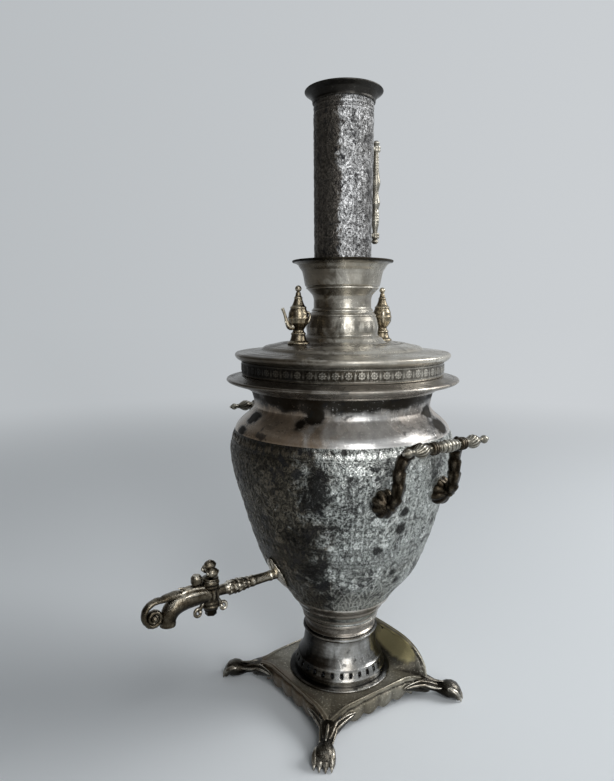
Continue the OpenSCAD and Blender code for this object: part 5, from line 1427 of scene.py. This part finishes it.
# Pieces that keep the shape of their solids
for node_name, material in (
    ("vessel_floor", RIM_SILVER), ("grate", SOOTY_IRON), ("tap_gasket", LEATHER), ("tap_back_nut", BRASS_NUT),
    ("key_washer", CAST_NICKEL), ("key_nut", CAST_NICKEL), ("front_knob_nut", BRASS_NUT),
    ("rear_knob_nut", BRASS_NUT),
):
    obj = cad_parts[node_name]
    for k in range(len(obj.material_slots)):
        obj.material_slots[k].material = material

# Floor, backdrop and light: a pale room that is dimmer to the left of the camera
PALE_RIGHT = (0.6, 0.625, 0.648)
PALE_LEFT = (0.485, 0.51, 0.53)
DIM = (0.07, 0.062, 0.052)
FLOOR = (0.86, 0.9, 0.93)
RIGHT = Vector((math.cos(VIEW_TURN), math.sin(VIEW_TURN), 0))
AHEAD = Vector((-RIGHT.y, RIGHT.x, 0))
DIM_TURN = math.radians(80)
DIM_WAY = -AHEAD * math.cos(DIM_TURN) - RIGHT * math.sin(DIM_TURN)


def room_colour(tree, way, wall):
    lean = vector_node(tree, "DOT_PRODUCT", way, DIM_WAY)
    share = math_node(tree, "MULTIPLY_ADD", lean, 0.5, 0.5)
    return ramp(tree, share, [(0.2, PALE_RIGHT), (0.64, PALE_LEFT), (0.86, wall)])


def make_floor():
    made = bpy.data.materials.new("pale_floor")
    made.use_nodes = True
    tree = made.node_tree
    tree.nodes.clear()
    place = node(tree, "ShaderNodeTexCoord").outputs["Object"]
    far = vector_node(tree, "LENGTH", place)
    way = vector_node(tree, "NORMALIZE", place)
    matt = node(tree, "ShaderNodeBsdfDiffuse", {"Color": (*FLOOR, 1)})
    glow = node(tree, "ShaderNodeEmission", {"Color": room_colour(tree, way, PALE_LEFT), "Strength": 1.0})
    edge = band(tree, far, 0.7, 2.4)
    mixed = node(tree, "ShaderNodeMixShader", {0: edge, 1: matt.outputs[0], 2: glow.outputs[0]})
    node(tree, "ShaderNodeOutputMaterial", {"Surface": mixed.outputs[0]})
    return made


bm = bmesh.new()
bmesh.ops.create_circle(bm, cap_ends=True, segments=96, radius=12.0)
floor_mesh = bpy.data.meshes.new("floor")
bm.to_mesh(floor_mesh)
bm.free()
floor_mesh.materials.append(make_floor())
floor = bpy.data.objects.new("floor", floor_mesh)
scene.collection.objects.link(floor)

world = bpy.data.worlds.new("studio")
scene.world = world
world.use_nodes = True
tree = world.node_tree
tree.nodes.clear()
way = node(tree, "ShaderNodeTexCoord").outputs["Generated"]
backdrop = node(tree, "ShaderNodeBackground", {"Color": room_colour(tree, way, DIM), "Strength": 1.0})
fill = node(tree, "ShaderNodeBackground", {"Color": room_colour(tree, way, DIM), "Strength": 0.36})
rays = node(tree, "ShaderNodeLightPath").outputs
mirrored = math_node(tree, "MAXIMUM", rays["Is Glossy Ray"], rays["Is Transmission Ray"])
seen = math_node(tree, "MAXIMUM", rays["Is Camera Ray"], mirrored)
both = node(tree, "ShaderNodeMixShader", {0: seen, 1: fill.outputs[0], 2: backdrop.outputs[0]})
node(tree, "ShaderNodeOutputWorld", {"Surface": both.outputs[0]})


def softbox(name, place, aim, wide, tall, power):
    data = bpy.data.lights.new(name, "AREA")
    data.shape = "RECTANGLE"
    data.size, data.size_y, data.energy = wide, tall, power
    made = bpy.data.objects.new(name, data)
    made.location = place
    made.rotation_euler = (Vector(aim) - Vector(place)).to_track_quat("-Z", "Y").to_euler()
    scene.collection.objects.link(made)


CENTRE = Vector((0, 0, 0.28))
softbox("window_right", CENTRE + RIGHT * 2.0 + AHEAD * 0.15 + Vector((0, 0, 1.2)), CENTRE, 1.2, 1.2, 32)
softbox("window_front", CENTRE + RIGHT * 0.55 - AHEAD * 1.75 + Vector((0, 0, 0.8)), CENTRE, 0.7, 2.3, 20)
